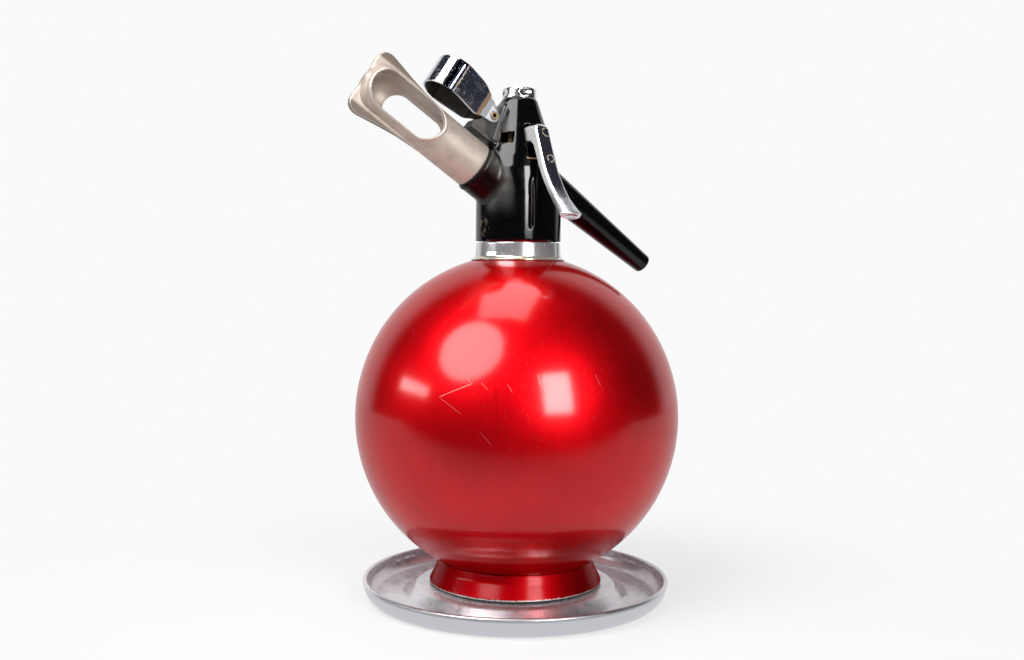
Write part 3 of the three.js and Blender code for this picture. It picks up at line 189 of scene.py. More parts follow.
def guarded(profile: Array, guard: float, closed: bool) -> Array:
    """A profile with one more point beside each bend at the end of a long side, so that it shades flat.

    Args:
        profile: the points.
        guard: how far in from the side's end the new point lies.
        closed: whether the last point joins the first.

    Returns:
        The points with the guards among them.
    """
    ends = np.roll(profile, -1, axis=0) if closed else profile[1:]
    starts = profile if closed else profile[:-1]
    runs = ends - starts
    reach = np.linalg.norm(runs, axis=1)
    heading = np.arctan2(runs[:, 1], runs[:, 0])
    turn = np.abs((heading - np.roll(heading, 1) + math.pi) % (2 * math.pi) - math.pi) > math.radians(3)
    if not closed:
        turn[0] = False
    points = []
    for at, (start, run) in enumerate(zip(starts, runs)):
        points.append(start)
        if reach[at] > 4 * guard and turn[at]:
            points.append(start + run * guard / reach[at])
        if reach[at] > 4 * guard and (closed or at + 1 < len(runs)) and turn[(at + 1) % len(runs)]:
            points.append(start + run * (1 - guard / reach[at]))
    if not closed:
        points.append(profile[-1])
    return np.array(points)


# Meshes


def mesh_object(name: str, points: Array, faces: Array, weld: bool = True) -> bpy.types.Object:
    """An object at the origin whose mesh holds the points, given in millimetres.

    Args:
        name: the object's name.
        points: n by 3 points.
        faces: m by 4 indices of corners.
        weld: whether corners in one place are joined, as at a pole.

    Returns:
        The new object, with faces turned outwards and shaded smooth.
    """
    mesh = bpy.data.meshes.new(name)
    mesh.vertices.add(len(points))
    mesh.vertices.foreach_set("co", (points * MM).ravel())
    mesh.loops.add(faces.size)
    mesh.loops.foreach_set("vertex_index", faces.astype(np.int32).ravel())
    mesh.polygons.add(len(faces))
    mesh.polygons.foreach_set("loop_start", np.arange(0, faces.size, faces.shape[1], dtype=np.int32))
    mesh.update(calc_edges=True)
    if weld:
        work = bmesh.new()
        work.from_mesh(mesh)
        bmesh.ops.remove_doubles(work, verts=work.verts, dist=2e-6)
        if work.calc_volume(signed=True) < 0:
            bmesh.ops.reverse_faces(work, faces=work.faces)
        work.to_mesh(mesh)
        work.free()
    mesh.shade_smooth()
    obj = bpy.data.objects.new(name, mesh)
    bpy.context.scene.collection.objects.link(obj)
    return obj


def grid_faces(rows: int, columns: int, rows_close: bool) -> Array:
    """Quads of a grid whose columns close on themselves, and whose rows may.

    Args:
        rows: number of rows.
        columns: number of columns.
        rows_close: whether the last row joins the first.

    Returns:
        The corners' indices, n by 4.
    """
    row = np.arange(rows if rows_close else rows - 1)[:, None]
    column = np.arange(columns)[None, :]
    after_row, after_column = (row + 1) % rows, (column + 1) % columns
    corners = [row * columns + column, row * columns + after_column,
               after_row * columns + after_column, after_row * columns + column]
    return np.stack([np.broadcast_to(c, (len(row), columns)) for c in corners], -1).reshape(-1, 4)


@dataclass
class Turned:
    """A turned piece: point(u, v) = frame · (r(v) cos u, r(v) sin u, h(v)).

    Attributes:
        name: the piece's name.
        profile: corners [radius, height], outside first, in millimetres.
        bends: radius of its rounded corners.
        closes: whether the profile closes on itself instead of on the axis.
        facets: steps round the axis.
        placed: the frame that it is turned in.
    """

    name: str
    profile: Outline
    bends: Union[float, Sequence[float]] = 0.3
    closes: bool = False
    facets: int = 96
    placed: Array = field(default_factory=lambda: np.eye(4))

    def build(self) -> bpy.types.Object:
        """Makes the piece's mesh.

        Returns:
            The new object.
        """
        curve = guarded(rounded(self.profile, self.bends, self.closes), 0.12, self.closes)
        angle = np.linspace(0, 2 * math.pi, self.facets, endpoint=False)
        radius, height = curve[:, :1], curve[:, 1:]
        local = np.stack([radius * np.cos(angle), radius * np.sin(angle), height + 0 * angle], -1)
        points = local.reshape(-1, 3) @ self.placed[:3, :3].T + self.placed[:3, 3]
        return mesh_object(self.name, points, grid_faces(len(curve), self.facets, self.closes))


# Solids given by their distance


def soft_least(a: Array, b: Array, blend: float) -> Array:
    """The lesser of two distances, min(a, b) - h²·blend/4 with h = max(0, 1 - |a-b|/blend).

    Args:
        a: the first distances.
        b: the second distances.
        blend: how wide the fillet reaches.

    Returns:
        The blended distances.
    """
    if blend <= 0:
        return np.minimum(a, b)
    near = np.clip(1 - np.abs(a - b) / blend, 0, 1)
    return np.minimum(a, b) - near * near * blend / 4


def outline_distance(x: Array, y: Array, outline: Outline, closed: bool = True) -> Array:
    """Signed distance in a plane to an outline: the least distance to a side, less than 0 inside.

    Args:
        x: first coordinate of the points.
        y: second coordinate.
        outline: the corners.
        closed: whether the side from the last corner to the first is part of the outline.

    Returns:
        The distances.
    """
    corners = np.array(outline, float)
    nearest = np.full(x.shape, np.inf)
    inside = np.zeros(x.shape, bool)
    afters = np.roll(corners, -1, axis=0) if closed else corners[1:]
    for (x0, y0), (x1, y1) in zip(corners, afters):
        dx, dy = x1 - x0, y1 - y0
        length = dx * dx + dy * dy
        if length < 1e-12:
            continue
        share = np.clip(((x - x0) * dx + (y - y0) * dy) / length, 0, 1)
        nearest = np.minimum(nearest, (x - x0 - share * dx) ** 2 + (y - y0 - share * dy) ** 2)
        if y1 != y0:
            inside ^= ((y0 > y) != (y1 > y)) & (x < dx * (y - y0) / dy + x0)
    return np.where(inside, -1.0, 1.0) * np.sqrt(nearest)


def rounded_meet(a: Array, b: Array, edge: float) -> Array:
    """Distance to where two solids meet, with the edge between their faces rounded by a radius."""
    a, b = a + edge, b + edge
    return np.minimum(np.maximum(a, b), 0) + np.hypot(np.maximum(a, 0), np.maximum(b, 0)) - edge


def crossed(values: Array, axis: int, strides: Array) -> tuple:
    """The grid's edges along one axis that the surface crosses.

    Args:
        values: the distances on the grid.
        axis: 0, 1 or 2.
        strides: steps in a cell's number for one cell along each axis.

    Returns:
        The crossings, the numbers of the four cells round each, and whether the surface faces onwards.
    """
    first = np.take(values, np.arange(values.shape[axis] - 1), axis)
    second = np.take(values, np.arange(1, values.shape[axis]), axis)
    edges = np.argwhere((first < 0) != (second < 0))
    across, beside = [k for k in range(3) if k != axis]
    last = np.array(values.shape) - 1
    edges = edges[np.all([(edges[:, k] > 0) & (edges[:, k] < last[k]) for k in (across, beside)], axis=0)]
    here = first[edges[:, 0], edges[:, 1], edges[:, 2]]
    there = second[edges[:, 0], edges[:, 1], edges[:, 2]]
    crossing = edges.astype(float)
    crossing[:, axis] += here / (here - there)
    base = edges @ strides
    around = np.stack([base - strides[across] - strides[beside], base - strides[beside],
                       base, base - strides[across]], 1)
    return crossing, around, (here < 0) ^ (axis == 1)


def keep_on_points(obj: bpy.types.Object, name: str, values: Array) -> None:
    """Keeps a number for each of a mesh's points."""
    attribute = obj.data.attributes.new(name, "FLOAT", "POINT")
    attribute.data.foreach_set("value", values.astype(np.float32))


@dataclass
class Solid:
    """A solid given by its signed distance: its surface is where the distance is zero.

    Attributes:
        distance: gives the distance of each of n by 3 points, in millimetres.
    """

    distance: Distance

    @staticmethod
    def turned(profile: Outline, bends: Union[float, Sequence[float]] = 0.0) -> "Solid":
        """A body of revolution of an [radius, height] profile that starts and ends on the axis."""
        half = rounded(profile, bends, False)
        return Solid(lambda p: outline_distance(np.hypot(p[:, 0], p[:, 1]), p[:, 2], half, False))

    @staticmethod
    def rod(radius: float, low: float, high: float, edge: float = 0.0) -> "Solid":
        """A round rod about Z between two heights.

        Args:
            radius: its radius.
            low: its lower end.
            high: its upper end.
            edge: radius of its edges.

        Returns:
            The rod.
        """
        middle, half = (low + high) / 2, (high - low) / 2
        return Solid(lambda p: rounded_meet(
            np.hypot(p[:, 0], p[:, 1]) - radius, np.abs(p[:, 2] - middle) - half, edge))

    @staticmethod
    def oval(frame_matrix: Array, radii: Sequence[float]) -> "Solid":
        """An ellipsoid in a frame: its distance is about k (k - 1) / |q / r²|, where k = |q / r|.

        Args:
            frame_matrix: the frame at its middle.
            radii: its three radii.

        Returns:
            The ellipsoid.
        """
        size = np.array(radii, float)

        def distance(p: Array) -> Array:
            """Distance of the points p."""
            q = (p - frame_matrix[:3, 3]) @ frame_matrix[:3, :3]
            k = np.linalg.norm(q / size, axis=1)
            return k * (k - 1) / np.maximum(np.linalg.norm(q / size ** 2, axis=1), 1e-6)

        return Solid(distance)

    @staticmethod
    def plate(outline: Outline, low: float, high: float, edge: float = 0.0) -> "Solid":
        """A plate of an outline in X and Z, drawn out along Y between two places, with rounded edges.

        Args:
            outline: the corners [x, z].
            low: where the plate starts.
            high: where it ends.
            edge: radius of its edges.

        Returns:
            The plate.
        """
        middle, half = (low + high) / 2, (high - low) / 2
        return Solid(lambda p: rounded_meet(
            outline_distance(p[:, 0], p[:, 2], outline), np.abs(p[:, 1] - middle) - half, edge))

    @staticmethod
    def block(low: Sequence[float], high: Sequence[float], edge: float = 0.0) -> "Solid":
        """A block between two corners, with rounded edges.

        Args:
            low: its lowest corner.
            high: its highest corner.
            edge: radius of its edges.

        Returns:
            The block.
        """
        middle = (np.array(low, float) + np.array(high, float)) / 2
        half = (np.array(high, float) - np.array(low, float)) / 2 - edge

        def distance(p: Array) -> Array:
            """Distance of the points p."""
            out = np.abs(p - middle) - half
            return np.linalg.norm(np.maximum(out, 0), axis=1) + np.minimum(out.max(axis=1), 0) - edge

        return Solid(distance)

    def placed(self, frame_matrix: Array) -> "Solid":
        """The solid moved into a frame."""
        turn, origin = frame_matrix[:3, :3], frame_matrix[:3, 3]
        return Solid(lambda p: self.distance((p - origin) @ turn))

    def join(self, other: "Solid", blend: float = 0.0) -> "Solid":
        """Both solids, with a fillet where they meet."""
        return Solid(lambda p: soft_least(self.distance(p), other.distance(p), blend))

    def cut(self, other: "Solid", edge: float = 0.0) -> "Solid":
        """The solid less another, with the edge of the cut eased."""
        return Solid(lambda p: -soft_least(-self.distance(p), other.distance(p), edge))

    def meet(self, other: "Solid", edge: float = 0.0) -> "Solid":
        """What both solids hold, with the edge eased."""
        return Solid(lambda p: -soft_least(-self.distance(p), -other.distance(p), edge))

    def grown(self, by: float) -> "Solid":
        """The solid with its surface moved out by a distance."""
        return Solid(lambda p: self.distance(p) - by)

    def surface(self, name: str, low: Sequence[float], high: Sequence[float],
                step: float) -> bpy.types.Object:
        """The solid's surface as an object.

        Each cell of a grid that the surface crosses gets one point, the mean of the crossings on its
        edges, and each crossed edge a quad of its four cells. The points then move onto the surface by
        p - d g / |g|², where g is the gradient of the distance d.

        Args:
            name: the object's name.
            low: lowest corner of the grid, in millimetres.
            high: highest corner of the grid.
            step: the cells' size.

        Returns:
            The object, with a point attribute "edge" of how sharply the surface turns outwards.
        """
        origin, values = self.sampled(low, high, step)
        cells = np.array(values.shape) - 1
        total = int(np.prod(cells))
        strides = np.array([cells[1] * cells[2], cells[2], 1])
        weight, sums, quads = np.zeros(total), np.zeros((3, total)), []
        for axis in range(3):
            crossing, around, outwards = crossed(values, axis, strides)
            for cell in around.T:
                weight += np.bincount(cell, minlength=total)
                for k in range(3):
                    sums[k] += np.bincount(cell, crossing[:, k], minlength=total)
            around[~outwards] = around[~outwards][:, ::-1]
            quads.append(around)
        used = np.flatnonzero(weight)
        index = np.zeros(total, int)
        index[used] = np.arange(len(used))
        points = self.settled(origin + (sums[:, used] / weight[used]).T * step + step / 2, step)
        obj = mesh_object(name, points, index[np.concatenate(quads)], weld=False)
        around = sum(self.distance(points + sign * 0.5 * axis) for axis in np.eye(3) for sign in (-1, 1))
        keep_on_points(obj, "edge", np.clip((around - 6 * self.distance(points)) / 0.25 * 0.6, 0, 1))
        return obj

    def sampled(self, low: Sequence[float], high: Sequence[float], step: float) -> tuple:
        """Distances on a grid of points, worked out on a coarse grid and again near the surface.

        Args:
            low: lowest corner of the grid, in millimetres.
            high: highest corner of the grid.
            step: the cells' size.

        Returns:
            The grid's origin and the distances.
        """
        coarse = 4
        origin = np.array(low, float) - step
        counts = (np.ceil((np.array(high) - origin + step) / (step * coarse)).astype(int)) * coarse
        rough = [origin[k] + (np.arange(counts[k] // coarse) + 0.5) * step * coarse for k in range(3)]
        middles = np.stack(np.meshgrid(*rough, indexing="ij"), -1).reshape(-1, 3)
        values = self.distance(middles).reshape(counts // coarse)
        for axis in range(3):
            values = np.repeat(values, coarse, axis)
        fine = [origin[k] + (np.arange(counts[k]) + 0.5) * step for k in range(3)]
        near = np.argwhere(np.abs(values) < step * coarse * 1.3)
        places = np.stack([fine[k][near[:, k]] for k in range(3)], 1)
        values[near[:, 0], near[:, 1], near[:, 2]] = self.distance(places)
        return origin, values

    def settled(self, points: Array, step: float) -> Array:
        """The points moved onto the surface, at most 0.6 steps at a time.

        Args:
            points: n by 3 points near the surface.
            step: the cells' size.

        Returns:
            The moved points.
        """
        span = step * 0.25
        for _ in range(3):
            here = self.distance(points)
            slope = np.stack([self.distance(points + span * axis) - self.distance(points - span * axis)
                              for axis in np.eye(3)], 1) / (2 * span)
            move = here[:, None] * slope / np.maximum((slope ** 2).sum(1), 0.25)[:, None]
            reach = np.linalg.norm(move, axis=1, keepdims=True)
            points = points - move * np.minimum(1, 0.6 * step / np.maximum(reach, 1e-9))
        return points


# Finishes


class Num:
    """A number that varies over a surface: arithmetic on it adds Math nodes."""

    def __init__(self, paint: "Graph", socket: bpy.types.NodeSocket) -> None:
        """Wraps a socket of a material that is being painted."""
        self.paint = paint
        self.socket = socket

    def _math(self, operation: str, first: Any, second: Any = 0.0) -> "Num":
        """One Math node on one or two values."""
        values = {0: first, 1: second}
        return Num(self.paint, self.paint.node("Math", {"operation": operation}, values).outputs[0])

    def __add__(self, other: Any) -> "Num":
        """The sum."""
        return self._math("ADD", self, other)

    def __sub__(self, other: Any) -> "Num":
        """The difference."""
        return self._math("SUBTRACT", self, other)

    def __mul__(self, other: Any) -> "Num":
        """The product."""
        return self._math("MULTIPLY", self, other)

    def __truediv__(self, other: Any) -> "Num":
        """The quotient."""
        return self._math("DIVIDE", self, other)

    def __rsub__(self, other: Any) -> "Num":
        """The difference, the other way round."""
        return self._math("SUBTRACT", other, self)

    __radd__ = __add__
    __rmul__ = __mul__

    def size(self) -> "Num":
        """The absolute value."""
        return self._math("ABSOLUTE", self)

    def most(self, other: Any) -> "Num":
        """The greater of two values."""
        return self._math("MAXIMUM", self, other)

    def least(self, other: Any) -> "Num":
        """The lesser of two values."""
        return self._math("MINIMUM", self, other)

    def step(self, start: float, stop: float) -> "Num":
        """Goes smoothly from 0 at start to 1 at stop, which may be the lower of the two.

        Args:
            start: the value where it is 0.
            stop: the value where it is 1.

        Returns:
            The share.
        """
        settings = {"interpolation_type": "SMOOTHSTEP"}
        rise = start < stop
        values = {"Value": self, "From Min": min(start, stop), "From Max": max(start, stop),
                  "To Min": 0.0 if rise else 1.0, "To Max": 1.0 if rise else 0.0}
        return Num(self.paint, self.paint.node("MapRange", settings, values).outputs[0])


Link = Union[Num, bpy.types.NodeSocket, float, Sequence[float]]


class Graph:
    """A node tree, with one method for each kind of node that is used often."""

    def __init__(self, tree: bpy.types.NodeTree) -> None:
        """Starts from an empty tree."""
        self.tree = tree
        self.tree.nodes.clear()

    def node(self, kind: str, settings: dict, inputs: dict) -> bpy.types.Node:
        """Adds a node.

        Args:
            kind: the node's type, without ShaderNode.
            settings: its properties, set first.
            inputs: values or links of its sockets, by name or number.

        Returns:
            The node.
        """
        node = self.tree.nodes.new("ShaderNode" + kind)
        for key, value in settings.items():
            setattr(node, key, value)
        for key, value in inputs.items():
            self.feed(node.inputs[key], value)
        return node

    def feed(self, socket: bpy.types.NodeSocket, value: Link) -> None:
        """Gives a socket a link or a value.

        Args:
            socket: the socket.
            value: a link, a number, a place or a colour.
        """
        if isinstance(value, Num):
            value = value.socket
        if isinstance(value, bpy.types.NodeSocket):
            self.tree.links.new(value, socket)
        elif isinstance(value, (int, float)):
            socket.default_value = value
        else:
            values = tuple(value)
            socket.default_value = (*values, 1.0) if socket.type == "RGBA" and len(values) == 3 else values

    def vector(self, operation: str, first: Link, second: Link = (0, 0, 0),
               scale: Link = 1.0) -> bpy.types.NodeSocket:
        """One Vector Math node: its vector output."""
        values = {0: first, 3: scale} if operation == "SCALE" else {0: first, 1: second}
        return self.node("VectorMath", {"operation": operation}, values).outputs["Vector"]

    def dot(self, place: Link, along: Sequence[float]) -> Num:
        """How far a place lies along a direction."""
        node = self.node("VectorMath", {"operation": "DOT_PRODUCT"}, {0: place, 1: along})
        return Num(self, node.outputs["Value"])

    def reach(self, place: Link, kept: Sequence[float] = (1, 1, 1)) -> Num:
        """How far a place lies from the origin, with each axis weighed."""
        weighed = self.vector("MULTIPLY", place, kept)
        return Num(self, self.node("VectorMath", {"operation": "LENGTH"}, {0: weighed}).outputs["Value"])

    def mix(self, share: Link, first: Link, second: Link) -> bpy.types.NodeSocket:
        """A colour between two colours.

        Args:
            share: 0 for the first, 1 for the second.
            first: a colour.
            second: a colour.

        Returns:
            The colour's socket.
        """
        node = self.node("Mix", {"data_type": "RGBA", "clamp_factor": True}, {})
        for at, value in ((0, share), (6, first), (7, second)):
            self.feed(node.inputs[at], value)
        return node.outputs[2]


class Paint(Graph):
    """A procedural material on Object coordinates in millimetres."""

    def __init__(self, name: str, **constants: Any) -> None:
        """Starts a material with a Principled shader whose named sockets get constant values.

        Args:
            name: the material's name.
            constants: values of sockets, named with _ for spaces.
        """
        self.material = bpy.data.materials.new(name)
        self.material.use_nodes = True
        super().__init__(self.material.node_tree)
        self.output = self.tree.nodes.new("ShaderNodeOutputMaterial")
        self.shader = self.tree.nodes.new("ShaderNodeBsdfPrincipled")
        self.tree.links.new(self.shader.outputs[0], self.output.inputs[0])
        self.set(**constants)
        self.place = self.placed()

    def set(self, **sockets: Link) -> None:
        """Sets or links the shader's sockets, named with _ for spaces."""
        for key, value in sockets.items():
            self.feed(self.shader.inputs[key.replace("_", " ")], value)

    def placed(self, centre: Sequence[float] = (0, 0, 0), turn: Sequence[float] = (0, 0, 0),
               scale: Sequence[float] = (1, 1, 1)) -> bpy.types.NodeSocket:
        """Object coordinates in millimetres about a centre, turned by degrees and then scaled.

        Args:
            centre: the new origin.
            turn: degrees about X, Y and Z.
            scale: factor along each axis.

        Returns:
            The coordinates' socket.
        """
        coordinates = self.node("TexCoord", {}, {}).outputs["Object"]
        moved = self.vector("SUBTRACT", self.vector("SCALE", coordinates, scale=1 / MM), centre)
        spun = self.node("Mapping", {}, {"Vector": moved, "Rotation": [math.radians(a) for a in turn]})
        return self.vector("MULTIPLY", spun.outputs[0], scale)

    def noise(self, size: float, detail: float = 3.0, rough: float = 0.5, place: Optional[Link] = None,
              twist: float = 0.0) -> Num:
        """Soft noise from 0 to 1 whose features are about a size across.

        Args:
            size: the size, in millimetres.
            detail: number of finer layers.
            rough: weight of each finer layer.
            place: other coordinates than the object's.
            twist: how much it is distorted.

        Returns:
            The noise.
        """
        values = {"Vector": self.place if place is None else place, "Scale": 1 / size, "Detail": detail,
                  "Roughness": rough, "Distortion": twist}
        return Num(self, self.node("TexNoise", {"noise_dimensions": "3D"}, values).outputs[0])

    def specks(self, spacing: float, radius: float, share: float, place: Optional[Link] = None) -> Num:
        """Round specks: 1 within a radius of the middle of some cells, chosen by each cell's own shade.

        Args:
            spacing: the cells' size, in millimetres.
            radius: the specks' radius.
            share: share of cells with a speck.
            place: other coordinates than the object's.

        Returns:
            The mask.
        """
        values = {"Vector": self.place if place is None else place, "Scale": 1 / spacing, "Randomness": 1.0}
        cells = self.node("TexVoronoi", {"feature": "F1"}, values)
        shade = self.node("SeparateColor", {}, {0: cells.outputs["Color"]}).outputs[0]
        chosen = Num(self, shade).step(share, share - 0.02)
        size = radius / spacing
        return Num(self, cells.outputs["Distance"]).step(size * 1.3, size * 0.7) * chosen

    def hairs(self, turn: Sequence[float], length: float, apart: float, width: float) -> Num:
        """Fine scratches: where noise that is drawn out along one direction crosses its middle value.

        Args:
            turn: degrees about X, Y and Z from their direction to X.
            length: their length, in millimetres.
            apart: how far apart they lie.
            width: their width, as a share of that.

        Returns:
            The mask.
        """
        place = self.placed((0, 0, 0), turn, (1 / length, 1 / apart, 1 / apart))
        line = (self.noise(1.0, 1.0, 0.4, place, 0.3) - 0.5).size().step(width, 0.0)
        broken = self.noise(0.6, 2.0, 0.5, place).step(0.54, 0.62)
        return line * broken

    def scratch(self, start: Sequence[float], stop: Sequence[float], width: float) -> Num:
        """One scratch across a ball about the place (0, 0, c): 1 near the great circle through two points.

        Args:
            start: where the scratch starts, in millimetres.
            stop: where it ends.
            width: half its width.

        Returns:
            The mask, which fades at both ends.
        """
        first, last = np.array(start, float), np.array(stop, float)
        middle, run = (first + last) / 2, last - first
        length = float(np.linalg.norm(run))
        out = middle - [0, 0, GLOBE_CENTRE]
        across = np.cross(run, out)
        across = across / np.linalg.norm(across)
        place = self.vector("SUBTRACT", self.place, middle.tolist())
        side = self.dot(place, across.tolist()).size().step(width, width * 0.3)
        along = self.dot(place, (run / length).tolist()).size().step(length / 2, length * 0.38)
        near = self.dot(place, (out / np.linalg.norm(out)).tolist()).step(-length - 4, -length)
        return side * along * near

    def bump(self, height: Num, depth: float) -> bpy.types.NodeSocket:
        """A normal from a height of 0 to 1 that stands for a depth in millimetres."""
        return self.node("Bump", {}, {"Strength": 1.0, "Distance": depth * MM, "Height": height}).outputs[0]

    def attribute(self, name: str) -> Num:
        """A number kept on the mesh's points."""
        return Num(self, self.node("Attribute", {"attribute_name": name}, {}).outputs["Fac"])


@dataclass
class Layers:
    """A surface's colour, roughness and height, on their way to the shader."""

    colour: Link
    rough: Num
    height: Num


@dataclass(frozen=True)
class RedAluminium:
    """Red dyed aluminium under a clear sealed skin: soft metal glow below, a sharper shine above, and
    painted shade on the foot.
    """

    name: str = "red_aluminium"
    deep: tuple = (0.60, 0.0004, 0.0035)
    bright: tuple = (0.74, 0.0010, 0.006)
    rim: tuple = (0.70, 0.02, 0.03, 1.0)
    worn: tuple = (0.78, 0.42, 0.40)
    dark: tuple = (0.12, 0.0, 0.001)
    bare: tuple = (0.72, 0.70, 0.68)
    # painted shade: the colour that the foot is darkened towards, below foot_top
    foot: tuple = (0.20, 0.0, 0.0015)
    foot_top: float = 21.4
    chips: tuple = (8.8, 9.95)
    scratches: tuple = (
        ((-70.3, -49.5, 115.9), (-57.3, -61.6, 123.4), 0.14, 1.0),
        ((-69.6, -50.2, 116.3), (-62.4, -60.6, 108.5), 0.11, 0.6),
        ((-59.1, -58.7, 126.2), (-57.6, -61.4, 122.6), 0.11, 0.6),
        ((-54.3, -64.0, 124.1), (-52.1, -67.1, 120.5), 0.11, 0.6),
        ((-30.7, -76.6, 128.7), (-30.3, -78.7, 122.6), 0.11, 0.6),
        ((-2.5, -82.7, 128.0), (-0.4, -84.4, 122.0), 0.11, 0.6),
        ((-56.1, -67.1, 100.8), (-51.5, -70.6, 94.4), 0.11, 0.6),
        ((-44.2, -71.7, 123.5), (-42.5, -73.8, 119.3), 0.11, 0.6))
    scars: tuple = (((-39.9, -48.0, 161.1), (-47.7, -65.0, 133.5), 0.28, 1.0),
                    ((-46.5, -62.7, 139.0), (-49.3, -73.1, 95.0), 0.22, 0.5))

    def drawn(self, paint: Paint, lines: tuple) -> Num:
        """Scratches, each with its ends, half its width and its strength.

        Args:
            paint: the material.
            lines: the scratches.

        Returns:
            The mask.
        """
        masks = [paint.scratch(start, stop, width) * strength for start, stop, width, strength in lines]
        return reduce(Num.most, masks)

    def material(self) -> bpy.types.Material:
        """Builds the material."""
        paint = Paint(self.name, Metallic=1.0, Coat_IOR=1.5, Coat_Roughness=0.15, Specular_Tint=self.rim)
        cloud = paint.noise(34.0, 3.0, 0.55)
        trails = paint.noise(1.0, 3.0, 0.6, paint.placed(scale=(0.45, 0.45, 0.012)))
        grain = paint.noise(0.35, 2.0, 0.6)
        hairs = paint.hairs((20, 35, 10), 26.0, 2.3, 0.006)
        hairs = hairs.most(paint.hairs((-40, 80, 55), 18.0, 2.9, 0.005))
        marks = self.drawn(paint, self.scratches)
        dots = paint.specks(5.5, 0.22, 0.16)
        level = paint.dot(paint.place, UPWARDS)
        low, high = self.chips
        chip = (level + paint.noise(1.6, 4.0, 0.7) * 2.2).step(high + 0.95, high + 0.45)
        chip = chip * level.step(low - 1.5, low - 1.0)
        # painted shade on the foot; the same mask also lowers the coat and raises the roughness there
        painted_foot_shade = level.step(self.foot_top, self.foot_top - 1.0)
        colour = paint.mix((cloud * 0.8 + trails * 0.35).step(0.3, 0.85), self.deep, self.bright)
        colour = paint.mix(marks.most(dots * 0.4).most(hairs * 0.12), colour, self.worn)
        colour = paint.mix(self.drawn(paint, self.scars) * 0.75, colour, self.dark)
        # paints the shade on the foot
        colour = paint.mix(painted_foot_shade * 0.72, colour, self.foot)
        colour = paint.mix(chip, colour, self.bare)
        rough = 0.40 + cloud * 0.05 + trails * 0.05 + grain * 0.03 + painted_foot_shade * 0.07
        coat = 0.88 - chip * 0.85 - marks * 0.3 - painted_foot_shade * 0.62
        ripple = grain * 0.35 + trails * 0.4 + hairs * 0.3
        paint.set(Base_Color=colour, Roughness=rough, Coat_Weight=coat, Normal=paint.bump(ripple, 0.0035))
        return paint.material


@dataclass(frozen=True)
class Chrome:
    """Bright plating with fine scratches and pits."""

    name: str
    tint: tuple
    rough: float
    pit: tuple = (0.12, 0.09, 0.07)

    def material(self) -> bpy.types.Material:
        """Builds the material."""
        paint = Paint(self.name, Metallic=1.0)
        cloud = paint.noise(9.0, 4.0, 0.6)
        hairs = paint.hairs((15, 50, 30), 9.0, 0.8, 0.012).most(paint.hairs((-60, 20, 75), 7.0, 0.9, 0.01))
        pits = paint.specks(1.7, 0.13, 0.16)
        colour = paint.mix(cloud.step(0.35, 0.8) * 0.25, self.tint, [c * 0.82 for c in self.tint])
        layers = Layers(paint.mix(pits * 0.7, colour, self.pit),
                        self.rough + cloud * 0.05 + hairs * 0.25 + pits * 0.4,
                        cloud * 0.3 - pits * 0.4 - hairs * 0.12)
        self.age(paint, layers, cloud)
        paint.set(Base_Color=layers.colour, Roughness=layers.rough, Normal=paint.bump(layers.height, 0.007))
        return paint.material

    def age(self, paint: Paint, layers: Layers, cloud: Num) -> None:
        """Adds the piece's own wear, of which plain plating has none.

        Args:
            paint: the material.
            layers: its layers so far, which the wear changes.
            cloud: its soft noise.
        """


@dataclass(frozen=True)
class RingChrome(Chrome):
    """The neck ring's plating, yellowed along its lower lip."""

    name: str = "ring_chrome"
    tint: tuple = (0.68, 0.68, 0.69)
    rough: float = 0.15
    lip: float = 185.9
    yellow: tuple = (0.62, 0.50, 0.24)

    def age(self, paint: Paint, layers: Layers, cloud: Num) -> None:
        """Yellows the lip in places."""
        paint.set(Metallic=0.86 - cloud * 0.08)
        band = paint.dot(paint.place, UPWARDS).step(self.lip, self.lip - 1.3)
        band = band * paint.noise(5.0, 3.0, 0.6).step(0.3, 0.6)
        layers.colour = paint.mix(band * 0.6, layers.colour, self.yellow)


@dataclass(frozen=True)
class LeverChrome(Chrome):
    """The lever's plating: a rubbed toe, dull sides and two rusty arcs."""

    name: str = "lever_chrome"
    tint: tuple = (0.80, 0.81, 0.83)
    rough: float = 0.06
    toe: tuple = (225.0, 212.0)
    side: tuple = (3.55, 3.95)
    arcs: tuple = (((1.0, -35.0, 236.6), 3.1), ((2.0, -28.0, 250.5), 3.0))
    rubbed: tuple = (0.88, 0.89, 0.92)
    dull: tuple = (0.70, 0.70, 0.69)
    rust: tuple = (0.30, 0.16, 0.05)

    def age(self, paint: Paint, layers: Layers, cloud: Num) -> None:
        """Rubs the toe, dulls the sides and draws the arcs."""
        broken = paint.noise(1.6, 3.0, 0.6).step(0.42, 0.5)
        rubbed = paint.dot(paint.place, UPWARDS).step(*self.toe)
        side = paint.dot(paint.place, (1, 0, 0)).size().step(*self.side) * (1.0 - rubbed)
        rings = [paint.reach(paint.placed(centre)) - radius for centre, radius in self.arcs]
        marks = reduce(Num.most, [ring.size().step(0.3, 0.12) * broken for ring in rings])
        colour = paint.mix(rubbed * 0.6, layers.colour, self.rubbed)
        colour = paint.mix(side * 0.6, colour, self.dull)
        layers.colour = paint.mix(marks * 0.85, colour, self.rust)
        layers.rough = layers.rough + rubbed * (0.2 + cloud * 0.1) + side * 0.22 + marks * 0.3
        paint.set(Metallic=1.0 - (side * 0.5).most(marks * 0.8))


